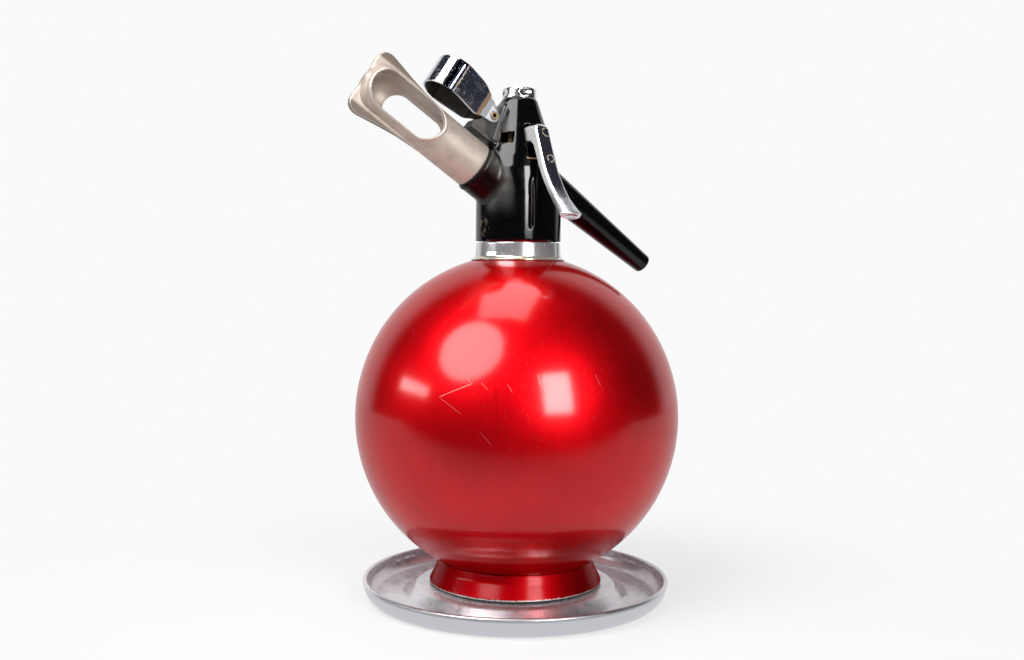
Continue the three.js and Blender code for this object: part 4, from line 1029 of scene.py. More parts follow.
@dataclass(frozen=True)
class CoverChrome(Chrome):
    """The cover's plating: brown stripes worn through it, a painted dark reflection, dust and a dull brown
    inside.
    """

    name: str = "cover_chrome"
    tint: tuple = (0.76, 0.775, 0.83)
    rough: float = 0.04
    # dark navy of a painted reflection on the cover, standing for the dark room mirrored in it
    scuff_and_painted_reflection: tuple = (0.012, 0.015, 0.035)
    ear: tuple = (0.62, 0.63, 0.66)
    speck: tuple = (0.34, 0.36, 0.44)
    brown: tuple = (0.23, 0.12, 0.032)
    lining: tuple = (0.05, 0.038, 0.021)
    stripes: tuple = (28.4, 9.2)
    ear_end: float = 8.0
    # middle and half width of the band of painted dark reflection, and the places of the lighter lines in it
    painted_dark_reflection: tuple = (30.9, 3.2)
    lines: tuple = (30.1, 31.3)

    def age(self, paint: Paint, layers: Layers, cloud: Num) -> None:
        """Lays the wear and the painted dark reflection over the plating from the hinge outwards, and then
        the lining.
        """
        along = paint.dot(paint.placed(joint_place("cover_hinge").tolist()), HOLDER_ALONG.tolist())
        patch = paint.noise(3.2, 3.0, 0.6)
        far, near = self.stripes
        brown = (along + patch * 1.0 - far).size().step(0.45, 0.15) * patch.step(0.38, 0.46)
        brown = brown.most((along + patch * 1.2 - near).size().step(1.25, 0.95) * patch.step(0.3, 0.4))
        worn = (along + patch * 2.0).step(self.ear_end + 0.8, self.ear_end)
        # painted reflection: a dark band across the cover, with lighter lines in it
        middle, reach = self.painted_dark_reflection
        painted_dark_reflection = (along - middle).size().step(reach, reach - 1.0)
        thin, wide = [(along + patch * 0.3 - place).size() for place in self.lines]
        lines = thin.step(0.32, 0.12).most(wide.step(0.5, 0.2))
        dust = paint.specks(1.3, 0.24, 0.34).most(paint.specks(0.9, 0.17, 0.3)) * patch.step(0.25, 0.5)
        smear = paint.noise(4.5, 5.0, 0.7).step(0.52, 0.75) * 0.35
        inside = paint.attribute("inside")
        # paints the dark reflection, lightened along the lines
        colour = paint.mix(painted_dark_reflection * (1.0 - lines * 0.45), layers.colour, self.scuff_and_painted_reflection)
        colour = paint.mix(worn * 0.5, colour, self.ear)
        colour = paint.mix(dust * 0.7 + smear * 0.4, colour, self.speck)
        colour = paint.mix(brown * 0.95, colour, self.brown)
        layers.colour = paint.mix(inside * (0.8 + patch * 0.2), colour, self.lining)
        rough = layers.rough + worn * 0.3 + patch.step(0.55, 0.75) * 0.08
        layers.rough = rough + inside * 0.25 + brown * 0.4 + dust * 0.35 + smear * 0.2
        bare = (brown * 0.75).most(dust * 0.5).most(inside * 0.6).most(smear * 0.25).most(worn * 0.3)
        paint.set(Metallic=1.0 - bare)


@dataclass(frozen=True)
class TrayChrome(Chrome):
    """The tray's plating: rings left by turning, a dull haze, short scratches and painted light and shade
    inside.

    The wall is where out² + level² comes near 1 about wall_middle, with out taken in its reach out and
    level² in the square of its reach up, which wall_reach gives.
    """

    name: str = "tray_metal"
    tint: tuple = (0.56, 0.56, 0.585)
    rough: float = 0.11
    wall_middle: tuple = (74.9, 8.8)
    wall_reach: tuple = (7.7, 77.4)
    haze: tuple = (0.47, 0.46, 0.47)
    # colour of the tray's real scuffs
    scuff_and_painted_reflection: tuple = (0.8, 0.8, 0.8)
    wall: tuple = (0.78, 0.785, 0.83)
    # painted dark reflection inside the tray towards the camera, and a paler inside behind the foot, partly
    # haze and partly painted light
    front: tuple = (0.30, 0.29, 0.30)
    back: tuple = (0.74, 0.73, 0.76)

    def age(self, paint: Paint, layers: Layers, cloud: Num) -> None:
        """Keeps the outer wall smooth, and dulls the inside, more so behind the foot, with painted light and
        shade.
        """
        radius = paint.reach(paint.place, (1, 1, 0))
        values = {"W": radius, "Scale": 1.3, "Detail": 4.0, "Roughness": 0.7}
        rings = Num(paint, paint.node("TexNoise", {"noise_dimensions": "1D"}, values).outputs[0])
        haze = paint.noise(7.0, 5.0, 0.65)
        hazy = haze.step(0.35, 0.75)
        scuffs = paint.hairs((0, 0, 35), 8.0, 0.55, 0.03).most(paint.hairs((0, 0, -50), 6.0, 0.6, 0.03))
        level = paint.dot(paint.place, UPWARDS) - self.wall_middle[1]
        out = (radius - self.wall_middle[0]) / self.wall_reach[0]
        wall = (out * out + level * level / self.wall_reach[1]).step(0.80, 0.93)
        wall = wall * out.step(0.02, 0.1) * level.step(0.6, 0.1)
        inside = 1.0 - wall
        # 0 towards the camera and 1 away from it: the front of the inside is painted darker as a painted
        #                                          dark reflection, the back paler, partly haze and partly
        #                                          painted light
        dull = paint.dot(paint.place, INTO_VIEW).step(-64.0, -18.0)
        colour = paint.mix(haze.step(0.4, 0.75) * 0.3, layers.colour, self.haze)
        colour = paint.mix(scuffs * 0.3, colour, self.scuff_and_painted_reflection)
        colour = paint.mix(wall * 0.9, colour, self.wall)
        colour = paint.mix(inside * (1.0 - dull) * 0.35, colour, self.front)
        layers.colour = paint.mix(inside * dull * 0.5, colour, self.back)
        paint.set(Metallic=1.0 - inside * (0.05 + dull * (0.37 + hazy * 0.16)))
        rough = 0.12 - dull * 0.12 + rings * 0.07 + hazy * 0.16 + scuffs * 0.15
        layers.rough = layers.rough + inside * rough
        layers.height = layers.height * (0.15 + inside * 0.85) + inside * (rings * 0.35 + scuffs * 0.15)


@dataclass(frozen=True)
class BlackMoulding:
    """Glossy black moulding with dust, rubbed marks, a worn sill in the lever's recess and a painted
    reflection under the port.
    """

    name: str = "black_moulding"
    body: tuple = (0.0008, 0.0008, 0.0011)
    dust: tuple = (0.30, 0.28, 0.25)
    worn: tuple = (0.26, 0.15, 0.07)
    # painted reflection: the dark red of the globe, shown dimly on the port's underside
    shade: tuple = (0.012, 0.0013, 0.0014)
    rubbed: tuple = (0.16, 0.12, 0.085)
    edge: tuple = (0.32, 0.31, 0.30)
    sill: float = 237.02
    chip_place: tuple = (-13.6, -10.4, 249.3)
    rubbed_place: tuple = (-22.9, -2.5, 201.5)
    streak_way: tuple = (-0.839, -0.545, 0.0)
    streak_out: tuple = (20.4, 22.6)
    streak_heights: tuple = (204.0, 227.0)
    bracket_out: tuple = (10.0, 13.5)
    bracket_heights: tuple = (243.0, 248.0)

    def material(self) -> bpy.types.Material:
        """Builds the material."""
        paint = Paint(self.name, Metallic=0.0, IOR=1.5, Specular_IOR_Level=0.46)
        cloud = paint.noise(7.0, 4.0, 0.6)
        dust = paint.specks(2.1, 0.13, 0.22).most(paint.specks(0.9, 0.07, 0.12) * 0.6)
        hairs = paint.hairs((70, 10, 5), 12.0, 0.9, 0.01).most(paint.hairs((30, 60, 80), 9.0, 1.1, 0.01))
        level = paint.dot(paint.place, UPWARDS)
        bracket = paint.dot(paint.place, (-1, 0, 0)).step(*self.bracket_out)
        bracket = bracket * level.step(*self.bracket_heights)
        side = paint.dot(paint.place, (1, 0, 0)).size()
        ledge = (level - self.sill + cloud * 0.5).size().step(0.6, 0.25) * side.step(6.2, 5.4)
        ledge = ledge * paint.dot(paint.place, (0, -1, 0)).step(15.0, 16.0)
        around = paint.reach(paint.placed(self.chip_place))
        chipped = around.step(7.0, 3.0) * paint.noise(1.5, 4.0, 0.7).step(0.5, 0.6)
        edge = paint.attribute("edge")
        streak = paint.dot(paint.place, self.streak_way).step(*self.streak_out)
        streak = streak * level.step(*self.streak_heights)
        film = paint.noise(3.0, 6.0, 0.75).step(0.52, 0.78) * cloud.step(0.42, 0.7)
        film = film.most(streak * (2.6 + cloud * 2.6))
        # the port's underside, painted dark red and made metallic as a painted dim reflection of the globe
        port = paint.placed(HOLDER_FRAME[:3, 3].tolist())
        under = paint.dot(port, HOLDER_ALONG.tolist()).step(17.0, 22.0)
        under = under * paint.dot(port, HOLDER_UP.tolist()).step(4.0, -4.0)
        low = paint.reach(paint.placed(self.rubbed_place)).step(7.5, 2.5)
        low = low * paint.noise(2.2, 4.0, 0.7).step(0.5, 0.62)
        colour = paint.mix(film * 0.035 + bracket * (0.02 + cloud * 0.14), self.body, self.dust)
        colour = paint.mix(low * 0.5, colour, self.rubbed)
        colour = paint.mix(dust * 0.7, colour, self.dust)
        colour = paint.mix(ledge.most(chipped * edge.step(0.3, 0.8)) * 0.9, colour, self.worn)
        colour = paint.mix(edge.step(0.5, 1.0) * cloud.step(0.5, 0.75) * 0.16, colour, self.edge)
        # paints the dim red reflection under the port
        colour = paint.mix(under, colour, self.shade)
        rough = 0.07 + cloud * 0.07 + film.least(1.0) * 0.22 + dust * 0.4 + hairs * 0.12
        rough = rough + ledge * 0.4 + bracket * 0.3
        paint.set(Base_Color=colour, Roughness=rough, Metallic=under * 0.8,
                  Normal=paint.bump(cloud * 0.5 + dust * 0.2 - hairs * 0.06, 0.007))
        return paint.material


@dataclass(frozen=True)
class CastAlloy:
    """Warm grey satin casting with a fine grain, bright rubbed edges, dark specks and painted shade on its
    wings.
    """

    name: str = "cast_alloy"
    body: tuple = (0.52, 0.44, 0.385)
    dull: tuple = (0.37, 0.305, 0.262)
    bright: tuple = (0.72, 0.66, 0.61)
    # painted shade: the dark colour that the wings get, away from the barrel
    wing: tuple = (0.125, 0.096, 0.075)
    painted_wing_shade_out: tuple = (12.8, 14.8)
    pit: tuple = (0.07, 0.06, 0.05)

    def material(self) -> bpy.types.Material:
        """Builds the material."""
        paint = Paint(self.name, Metallic=0.55, Specular_IOR_Level=0.5)
        cloud = paint.noise(6.5, 4.0, 0.6)
        grain = paint.noise(0.3, 3.0, 0.65)
        pits = paint.specks(2.3, 0.16, 0.2)
        grime = paint.noise(9.0, 5.0, 0.7).step(0.46, 0.68)
        rubbed = (paint.attribute("edge") + (cloud - 0.5) * 0.5).step(0.42, 0.8)
        port = paint.placed(HOLDER_FRAME[:3, 3].tolist())
        # painted shade on the wings, away from the barrel
        wing = paint.dot(port, HOLDER_UP.tolist()).size().step(*self.painted_wing_shade_out)
        colour = paint.mix(cloud.step(0.3, 0.75) * 0.5 + grime * 0.45, self.body, self.dull)
        colour = paint.mix(wing * 0.95, colour, self.wing)
        colour = paint.mix(rubbed * 0.45, colour, self.bright)
        colour = paint.mix(pits * 0.75, colour, self.pit)
        rough = 0.46 + grain * 0.1 + cloud * 0.06 - rubbed * 0.18
        paint.set(Base_Color=colour, Roughness=rough,
                  Normal=paint.bump(grain * 0.7 + cloud * 0.6 - pits * 0.5, 0.05))
        return paint.material


@dataclass(frozen=True)
class TurnedMetal:
    """Brass or steel with turning marks round its own axis and a dull film."""

    name: str
    body: tuple
    film: tuple
    rough: float = 0.26

    def material(self) -> bpy.types.Material:
        """Builds the material."""
        paint = Paint(self.name, Metallic=1.0)
        rings = paint.noise(1.0, 3.0, 0.6, paint.placed(scale=(0.25, 0.25, 4.0)))
        cloud = paint.noise(2.6, 4.0, 0.6)
        spots = paint.specks(1.3, 0.12, 0.18)
        colour = paint.mix(cloud.step(0.35, 0.75) * 0.6, self.body, self.film)
        colour = paint.mix(spots * 0.6, colour, [c * 0.3 for c in self.film])
        paint.set(Base_Color=colour, Roughness=self.rough + rings * 0.12 + cloud * 0.12,
                  Normal=paint.bump(rings * 0.6 + cloud * 0.3, 0.02))
        return paint.material


@dataclass(frozen=True)
class Rubber:
    """Matt black rubber with pale bloom."""

    name: str = "rubber"
    body: tuple = (0.012, 0.012, 0.012)
    bloom: tuple = (0.05, 0.05, 0.048)

    def material(self) -> bpy.types.Material:
        """Builds the material."""
        paint = Paint(self.name, Metallic=0.0, IOR=1.5)
        bloom = paint.noise(4.0, 5.0, 0.65)
        grain = paint.noise(0.4, 2.0, 0.6)
        colour = paint.mix(bloom.step(0.4, 0.8) * 0.4, self.body, self.bloom)
        paint.set(Base_Color=colour, Roughness=0.62 + grain * 0.15, Normal=paint.bump(grain, 0.03))
        return paint.material


@dataclass(frozen=True)
class MilkyPlastic:
    """Milky plastic of the dip tube, yellowed a little by age."""

    name: str = "clear_plastic"
    pale: tuple = (0.80, 0.79, 0.74)
    aged: tuple = (0.72, 0.69, 0.60)

    def material(self) -> bpy.types.Material:
        """Builds the material."""
        paint = Paint(self.name, Metallic=0.0, IOR=1.5, Subsurface_Weight=0.15, Subsurface_Scale=0.002)
        cloud = paint.noise(14.0, 3.0, 0.55)
        lines = paint.noise(1.0, 3.0, 0.6, paint.placed(scale=(1.2, 1.2, 0.03)))
        paint.set(Base_Color=paint.mix(cloud, self.pale, self.aged), Roughness=0.3 + lines * 0.15,
                  Normal=paint.bump(lines * 0.5 + cloud * 0.3, 0.02))
        return paint.material


@dataclass(frozen=True)
class Finish:
    """A material, and the slot of the record that it stands for."""

    slot: str
    material: bpy.types.Material


class Finishes:
    """The siphon's finishes, each made once."""

    def __init__(self) -> None:
        """Builds all materials."""
        self.red = Finish("red_aluminium", RedAluminium().material())
        self.tray = Finish("tray_metal", TrayChrome().material())
        self.ring = Finish("ring_chrome", RingChrome().material())
        self.lever = Finish("lever_chrome", LeverChrome().material())
        self.cap = Finish("ring_chrome", Chrome("cap_chrome", (0.84, 0.83, 0.81), 0.17).material())
        self.cover = Finish("cover_chrome", CoverChrome().material())
        self.black = Finish("black_moulding", BlackMoulding().material())
        self.cast = Finish("cast_alloy", CastAlloy().material())
        brass = TurnedMetal("brass", (0.47, 0.33, 0.19), (0.20, 0.13, 0.07))
        aged_brass = TurnedMetal("aged_brass", (0.16, 0.11, 0.06), (0.05, 0.035, 0.02), 0.4)
        steel = TurnedMetal("steel", (0.58, 0.58, 0.59), (0.34, 0.33, 0.32), 0.2)
        self.brass = Finish("brass", brass.material())
        self.aged_brass = Finish("brass", aged_brass.material())
        self.steel = Finish("steel", steel.material())
        self.rubber = Finish("rubber", Rubber().material())
        self.plastic = Finish("clear_plastic", MilkyPlastic().material())


# The siphon's pieces


def fit(obj: bpy.types.Object, body: str, node: str, finish: Finish) -> None:
    """Dresses a new piece, hides the node that it stands for and lets it ride on its body.

    Args:
        obj: the piece.
        body: the body that carries it.
        node: the node that it replaces.
        finish: its finish.
    """
    obj.data.materials.clear()
    obj.data.materials.append(finish.material)
    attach(obj, body)
    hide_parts(node)
    log.info("%s: %d faces on body %s", obj.name, len(obj.data.polygons), body)


@dataclass
class DripTray:
    """The pressed tray: a rolled bead, a curved wall, a channel and a raised seat."""

    rim_radius: float = 83.2
    rim_height: float = 11.2
    base_radius: float = 74.9
    seat_radius: float = 53.0
    seat_height: float = 7.9
    channel: float = 14.0
    sheet: float = 1.2
    bead: float = 1.2
    folds: tuple = (3.2, 6.5, 5.5, 4.4)

    def profile(self) -> list:
        """The tray's section, from the middle of its underside out, over the bead and back in."""
        half, middle, wall_top = self.sheet / 2, self.rim_radius - self.bead, self.rim_height - 2 * self.bead
        reach = middle - self.base_radius
        bead = arc((middle, self.rim_height - self.bead), (self.bead, self.bead), -60, 240, 18)
        outer = arc((self.base_radius, wall_top), (reach + half, wall_top), -90, 0, 16)
        inner = arc((self.base_radius, wall_top), (reach - half, wall_top - self.sheet), 0, -90, 16)
        foot = self.seat_radius + self.channel / 2
        under = self.seat_height - self.sheet
        return [[0, under], [self.seat_radius - half, under], [foot - half, 0], *outer, *bead, *inner,
                [foot + half, self.sheet], [self.seat_radius + half, self.seat_height],
                [0, self.seat_height]]

    def build(self, finishes: Finishes) -> None:
        """Makes and dresses the tray."""
        points = self.profile()
        bends = [0.4] * len(points)
        bends[1], bends[2], bends[-3], bends[-2] = self.folds
        fit(Turned("tray_sheet", points, bends, facets=192).build(), "tray", "drip_tray", finishes.tray)


@dataclass
class Vessel:
    """The globe with its neck, the foot that it stands on and the chromed ring round the neck."""

    radius: float = 87.5
    half_height: float = 88.15
    centre: float = GLOBE_CENTRE
    wall: float = 1.6
    neck_radius: float = 17.0
    neck_bore: float = 14.4
    neck_top: float = 206.11
    thread_radius: float = 17.9
    thread_pitch: float = 3.6
    thread_turns: int = 3
    thread_half: tuple = (1.1, 0.25)
    foot_radius: float = 47.0
    foot_top_radius: float = 42.4
    foot_base: float = 8.85
    foot_top: float = 20.9
    foot_wall: float = 1.7
    foot_bends: tuple = (0.35, 2.0, 8.0, 0.5, 0.1, 0.2, 0.3, 0.2, 0.3, 0.3)
    ring_base: float = 183.1
    ring_lip: float = 25.6
    ring_side: tuple = ((25.6, 0.7), (24.2, 1.2), (23.35, 1.9), (23.05, 4.4), (22.85, 8.7), (22.7, 9.6))
    ring_bends: tuple = (0.2, 0.1, 0.1, 0.1, 0.1, 0.15, 0.35, 1.6, 1.4, 9.0, 0.9, 0.45, 0.3)
    bumper: tuple = ((46.5, 8.2), (46.5, 8.8), (44.6, 8.8), (44.6, 8.2))
    gap: float = 0.3

    def radius_at(self, height: float, out: float) -> float:
        """Radius of the globe at a height, set out from it by a distance."""
        rise = (height - self.centre) / (self.half_height + out)
        return (self.radius + out) * math.sqrt(1 - rise * rise)

    def height_at(self, radius: float, out: float) -> float:
        """Height of the upper half of the globe at a radius, set out from it by a distance."""
        across = radius / (self.radius + out)
        return self.centre + (self.half_height + out) * math.sqrt(1 - across * across)

    def globe(self) -> Turned:
        """The vessel: r = R cos a, h = c + H sin a outside and inside, joined over the neck's rim."""
        inside, inside_half = self.radius - self.wall, self.half_height - self.wall
        outer_stop = math.degrees(math.acos(self.neck_radius / self.radius))
        inner_stop = math.degrees(math.acos(self.neck_bore / inside))
        outer = arc((0, self.centre), (self.radius, self.half_height), -90, outer_stop, 120)
        inner = arc((0, self.centre), (inside, inside_half), inner_stop, -90, 60)
        root, crest = self.thread_half
        threads = []
        for turn in range(self.thread_turns, 0, -1):
            middle = self.neck_top - self.thread_pitch * turn
            threads += [[self.neck_radius, middle - root], [self.thread_radius, middle - crest],
                        [self.thread_radius, middle + crest], [self.neck_radius, middle + root]]
        rim = [[self.neck_radius, self.neck_top], [self.neck_bore, self.neck_top]]
        return Turned("globe_shell", [*outer, *threads, *rim, *inner], 0.35, facets=224)

    def foot(self) -> Turned:
        """The flared foot ring, drawn in under the globe."""
        seat = self.foot_top - 1.6
        top_radius, seat_radius = self.radius_at(self.foot_top, self.gap), self.radius_at(seat, self.gap)
        under, inner = seat - self.foot_wall, self.foot_top_radius - self.foot_wall
        profile = [[self.foot_radius, self.foot_base], [self.foot_radius - 0.15, self.foot_base + 1.0],
                   [self.foot_top_radius + 0.9, self.foot_top - 4.0],
                   [self.foot_top_radius, self.foot_top - 0.8], [top_radius + 0.1, self.foot_top],
                   [top_radius, self.foot_top], [seat_radius, seat], [min(seat_radius, inner), under],
                   [inner, under], [self.foot_radius - self.foot_wall, self.foot_base]]
        return Turned("foot_shell", profile, self.foot_bends, True, 192)

    def ring(self) -> Turned:
        """The polished ring: a flared lower lip, a waist and a rounded upper edge."""
        bore = self.neck_radius + self.gap
        under = [[r, self.height_at(r, self.gap)] for r in np.linspace(bore, self.ring_lip, 6)]
        side = [[r, self.ring_base + rise] for r, rise in self.ring_side]
        return Turned("neck_band", [*under, *side, [bore, side[-1][1]]], self.ring_bends, True, 160)

    def build(self, finishes: Finishes) -> None:
        """Makes and dresses the vessel's pieces."""
        fit(self.globe().build(), "vessel", "globe", finishes.red)
        fit(self.foot().build(), "vessel", "foot_ring", finishes.red)
        edge = Turned("foot_edge", self.bumper, 0.2, True, 160).build()
        fit(edge, "vessel", "foot_bumper", finishes.rubber)
        fit(self.ring().build(), "vessel", "neck_ring", finishes.ring)


@dataclass
class DipTube:
    """The dip tube with its flange, its slotted end and the seal over the neck."""

    radius: float = 3.0
    bore: float = 2.0
    base: float = 16.1
    flange_radius: float = 16.4
    flange_base: float = 208.01
    flange: float = 1.2
    bends: tuple = (0.2, 0.2, 1.5, 0.3, 0.3, 0.3, 0.2)
    end: tuple = ((3.3, 21.1), (3.3, 15.8), (2.0, 15.8), (2.0, 14.1), (4.4, 14.1), (5.0, 16.1), (5.0, 17.6),
                  (4.6, 17.9), (4.6, 19.1), (5.0, 19.4), (5.0, 21.1))
    seal: tuple = ((17.0, 206.41), (17.0, 207.71), (14.4, 207.71), (14.4, 206.41))

    def build(self, finishes: Finishes) -> None:
        """Makes and dresses the pieces of the tube."""
        top = self.flange_base + self.flange
        tube = [[self.bore, self.base], [self.radius, self.base], [self.radius, self.flange_base - 2.2],
                [self.radius + 1.4, self.flange_base], [self.flange_radius, self.flange_base],
                [self.flange_radius, top], [self.bore, top]]
        for piece, node, finish in (
                (Turned("dip_pipe", tube, self.bends, True, 64), "dip_tube", finishes.plastic),
                (Turned("dip_end", self.end, 0.25, True, 64), "strainer", finishes.plastic),
                (Turned("rim_seal", self.seal, 0.4, True, 96), "head_seal", finishes.rubber)):
            fit(piece.build(), "tube", node, finish)


@dataclass
class Head:
    """The moulded head: collar, cone, charger port, bracket, lever's recess, cap, spout and metal parts."""

    radius: float = 23.1
    base: float = 193.2
    shoulder: float = 229.42
    top: float = 269.6
    top_radius: float = 9.7
    wall: float = 2.6
    roof_wall: float = 6.2
    bore: float = 20.5
    long_bend: float = 105.0
    port_radius: float = 13.3
    port_end: float = 31.6
    port_start: float = 14.0
    insert: float = 11.0
    web: float = 4.4
    rail: tuple = (14.2, 16.2)
    rail_half: float = 6.3
    tail: float = 47.6
    pin_offset: float = 27.0
    pin_along: float = 40.0
    pin_boss: float = 3.5
    pivot: tuple = (-13.4, 250.515)
    axle: tuple = ((0, -5.4), (1.1, -5.4), (1.1, 5.4), (0, 5.4))
    sill: float = 237.02
    roof: float = 255.32
    recess_half: tuple = (4.7, 4.6, 3.8)
    groove: float = 2.1
    groove_place: float = -4.6
    groove_depth: float = 1.35
    groove_length: float = 37.0
    relief_turn: float = -142.3
    relief_out: float = 9.6
    relief_height: float = 247.9
    window_half: tuple = (4.1, 2.8)
    plug: tuple = ((0, 237.4), (3.1, 237.4), (3.1, 239.4), (2.5, 239.6), (2.5, 247.0), (2.15, 247.4),
                   (2.15, 248.2), (2.5, 248.6), (2.5, 251.4), (1.2, 251.4), (1.0, 250.3), (0, 250.3))
    rivet: tuple = ((0.95, -6.8), (2.1, -6.8), (2.1, -6.3), (1.7, -6.3), (1.7, 6.3), (2.1, 6.3), (2.1, 6.8),
                    (0.95, 6.8))
    spout: tuple = ((1.9, 8.5), (3.2, 8.5), (3.2, 19.5), (9.1, 19.5), (5.4, 98.2), (5.0, 99.0), (4.0, 99.0),
                    (3.7, 96.0), (1.9, 94.3))
    spout_bends: tuple = (0.3, 0.3, 0.3, 0.5, 1.2, 0.6, 0.3, 0.5, 0.3)
    spout_hole: tuple = ((9.4, 19.5), (5.7, 99.0), 16.5)
    nipple: tuple = ((1.2, 14.0), (10.7, 14.0), (10.7, 30.8), (9.0, 30.8))
    nipple_end: tuple = ((9.0, 39.6), (8.6, 41.0), (5.2, 41.0), (5.2, 26.0), (1.2, 26.0))
    cap_side: tuple = ((0, 0), (9.25, 0), (9.25, 0.9), (8.95, 6.1), (0, 6.1))
    cap_bends: tuple = (0, 0.4, 0.3, 1.1, 0)
    stud: tuple = (3.2, 8.5)
    stud_hole: float = 3.5
    rivet_hole: float = 2.0
    scoops: int = 4
    scoop_turn: float = -5.8
    scoop_place: tuple = (10.5, 3.6)
    scoop: tuple = (2.6, 6.1, 2.95)

    def cone(self, height: float) -> float:
        """Radius of the cone at a height."""
        widening = (self.radius - self.top_radius) * (self.top - height) / (self.top - self.shoulder)
        return self.top_radius + widening

    def holder_point(self, across: float, along: float) -> list:
        """[x, z] of a place in the holder's frame."""
        point = HOLDER_FRAME[:3, 3] + across * HOLDER_UP + along * HOLDER_ALONG
        return [point[0], point[2]]

    def outside(self) -> Solid:
        """Collar and cone, the port's boss and the bracket, with fillets where they meet."""
        body = Solid.turned([[0, self.base], [self.radius, self.base], [self.radius, self.shoulder],
                             [self.top_radius, self.top], [0, self.top]], [0, 0.7, self.long_bend, 0.9, 0])
        lip = self.port_radius + 0.25
        port = Solid.turned([[0, 0], [self.port_radius, 0], [self.port_radius, self.port_end - 2.4],
                             [lip, self.port_end - 1.6], [lip, self.port_end], [0, self.port_end]],
                            [0, 0, 1.0, 0.8, 0.7, 0])
        crown = self.top - 1.8
        low, high = self.rail
        middle = (low + high) / 2
        pin = self.holder_point(self.pin_offset, self.pin_along)
        boss = arc(pin, (self.pin_boss, self.pin_boss), 60, 146.3, 8)
        outline = [[0, crown], [0.6 - self.cone(crown), crown], *boss,
                   self.holder_point(21.4, self.tail - 2.6), self.holder_point(high + 2.6, self.tail),
                   self.holder_point(middle, self.tail), self.holder_point(middle, self.port_start)]
        web = Solid.plate(rounded(outline, 0.9, True, 3), -self.web, self.web, 0.7)
        rail = Solid.block([low, -self.rail_half, self.port_start], [high, self.rail_half, self.tail], 0.5)
        bracket = web.join(rail.placed(HOLDER_FRAME), 0.8)
        return body.join(port.placed(HOLDER_FRAME), 2.2).join(bracket, 1.6)

    def recess(self) -> Solid:
        """The recess of the lever and the round-ended groove in the collar below its sill."""
        sill, upper, roof = self.recess_half
        outline = [[-sill, self.sill], [sill, self.sill], [upper, self.roof - 0.8], [roof, self.roof],
                   [-roof, self.roof], [-upper, self.roof - 0.8]]
        front = -self.radius - 4
        mouth = Solid.plate(rounded(outline, 0.5, True, 3), front, -3.2)
        half, top = self.groove / 2, self.sill - 1.0
        end = arc((self.groove_place, self.sill - self.groove_length + half), (half, half), 180, 360, 12)
        sides = [[self.groove_place + half, top], [self.groove_place - half, top], *end]
        return mouth.join(Solid.plate(sides, front, self.groove_depth - self.radius))

    def relief_way(self) -> Array:
        """Direction from the head's axis to the relief valve."""
        turn = math.radians(self.relief_turn)
        return np.array([math.cos(turn), math.sin(turn), 0.0])

    def hollow(self) -> Solid:
        """The cavity, the bores, the window of the relief valve and the hole of the cover's pin."""
        high = self.top - self.roof_wall
        below, above = self.shoulder - 3.5, self.shoulder + 3.5
        cavity = Solid.turned([[0, self.base - 3], [self.bore, self.base - 3], [self.bore, below],
                               [self.cone(above) - self.wall, above], [self.cone(high) - self.wall, high],
                               [0, high]], [0, 0, 60, 60, 1, 0])
        (wide, start), (narrow, end), floor = self.spout_hole
        slope = (wide - narrow) / (end - start)
        socket = Solid(lambda p: np.maximum(
            np.hypot(p[:, 0], p[:, 1]) - wide + (p[:, 2] - start) * slope, floor - p[:, 2]))
        across, tall = self.window_half
        window = Solid.block([self.relief_out, -across, -tall], [self.radius, across, tall], 0.4)
        insert = Solid.rod(self.insert, 0, self.port_end + 3)
        cuts = (cavity, Solid.rod(self.stud_hole, high - 3, self.top + 3),
                insert.placed(HOLDER_FRAME), socket.placed(SPOUT_FRAME),
                window.placed(frame_of([0, 0, self.relief_height], self.relief_way(), UPWARDS)),
                Solid.rod(self.rivet_hole, -8, 8).placed(RIVET_FRAME), self.recess())
        return reduce(Solid.join, cuts)

    def cap(self) -> Solid:
        """The chromed cap: a drum with scooped hollows round its side, and a stud."""
        base = self.top + 0.2
        out, rise = self.scoop_place
        drum = Solid.turned([[r, base + z] for r, z in self.cap_side], self.cap_bends)
        for at in range(self.scoops):
            turn = math.radians(360 / self.scoops * at + self.scoop_turn)
            way = np.array([math.cos(turn), math.sin(turn), 0.0])
            placed = frame_of(way * out + [0, 0, base + rise], way, UPWARDS)
            drum = drum.cut(Solid.oval(placed, self.scoop), 0.15)
        radius, length = self.stud
        return drum.join(Solid.rod(radius, base - length, base + 0.5, 0.4))

    def small_parts(self, finishes: Finishes) -> tuple:
        """The turned pieces, each with its node and its finish."""
        threads = [point for at in range(8) for point in ((9.1, 31.6 + at), (8.6, 32.1 + at))]
        nipple = [*self.nipple, *threads, *self.nipple_end]
        pin_frame = frame_of([0, *self.pivot], [0, 1, 0], [1, 0, 0])
        plug_frame = frame_of(self.relief_way() * self.relief_out, [1, 0, 0], UPWARDS)
        spout = Turned("spout_arm", self.spout, self.spout_bends, True, 128, SPOUT_FRAME)
        insert = Turned("port_nipple", nipple, 0.12, True, 96, HOLDER_FRAME)
        rivet = Turned("cover_rivet", self.rivet, 0.28, True, 48, RIVET_FRAME)
        axle = Turned("lever_axle", self.axle, 0.25, False, 40, pin_frame)
        plug = Turned("relief_plug", self.plug, 0.2, False, 48, plug_frame)
        return ((spout, "spout", finishes.black), (insert, "port_insert", finishes.brass),
                (rivet, "cover_pin", finishes.brass), (axle, "lever_pin", finishes.steel),
                (plug, "relief_valve", finishes.aged_brass))

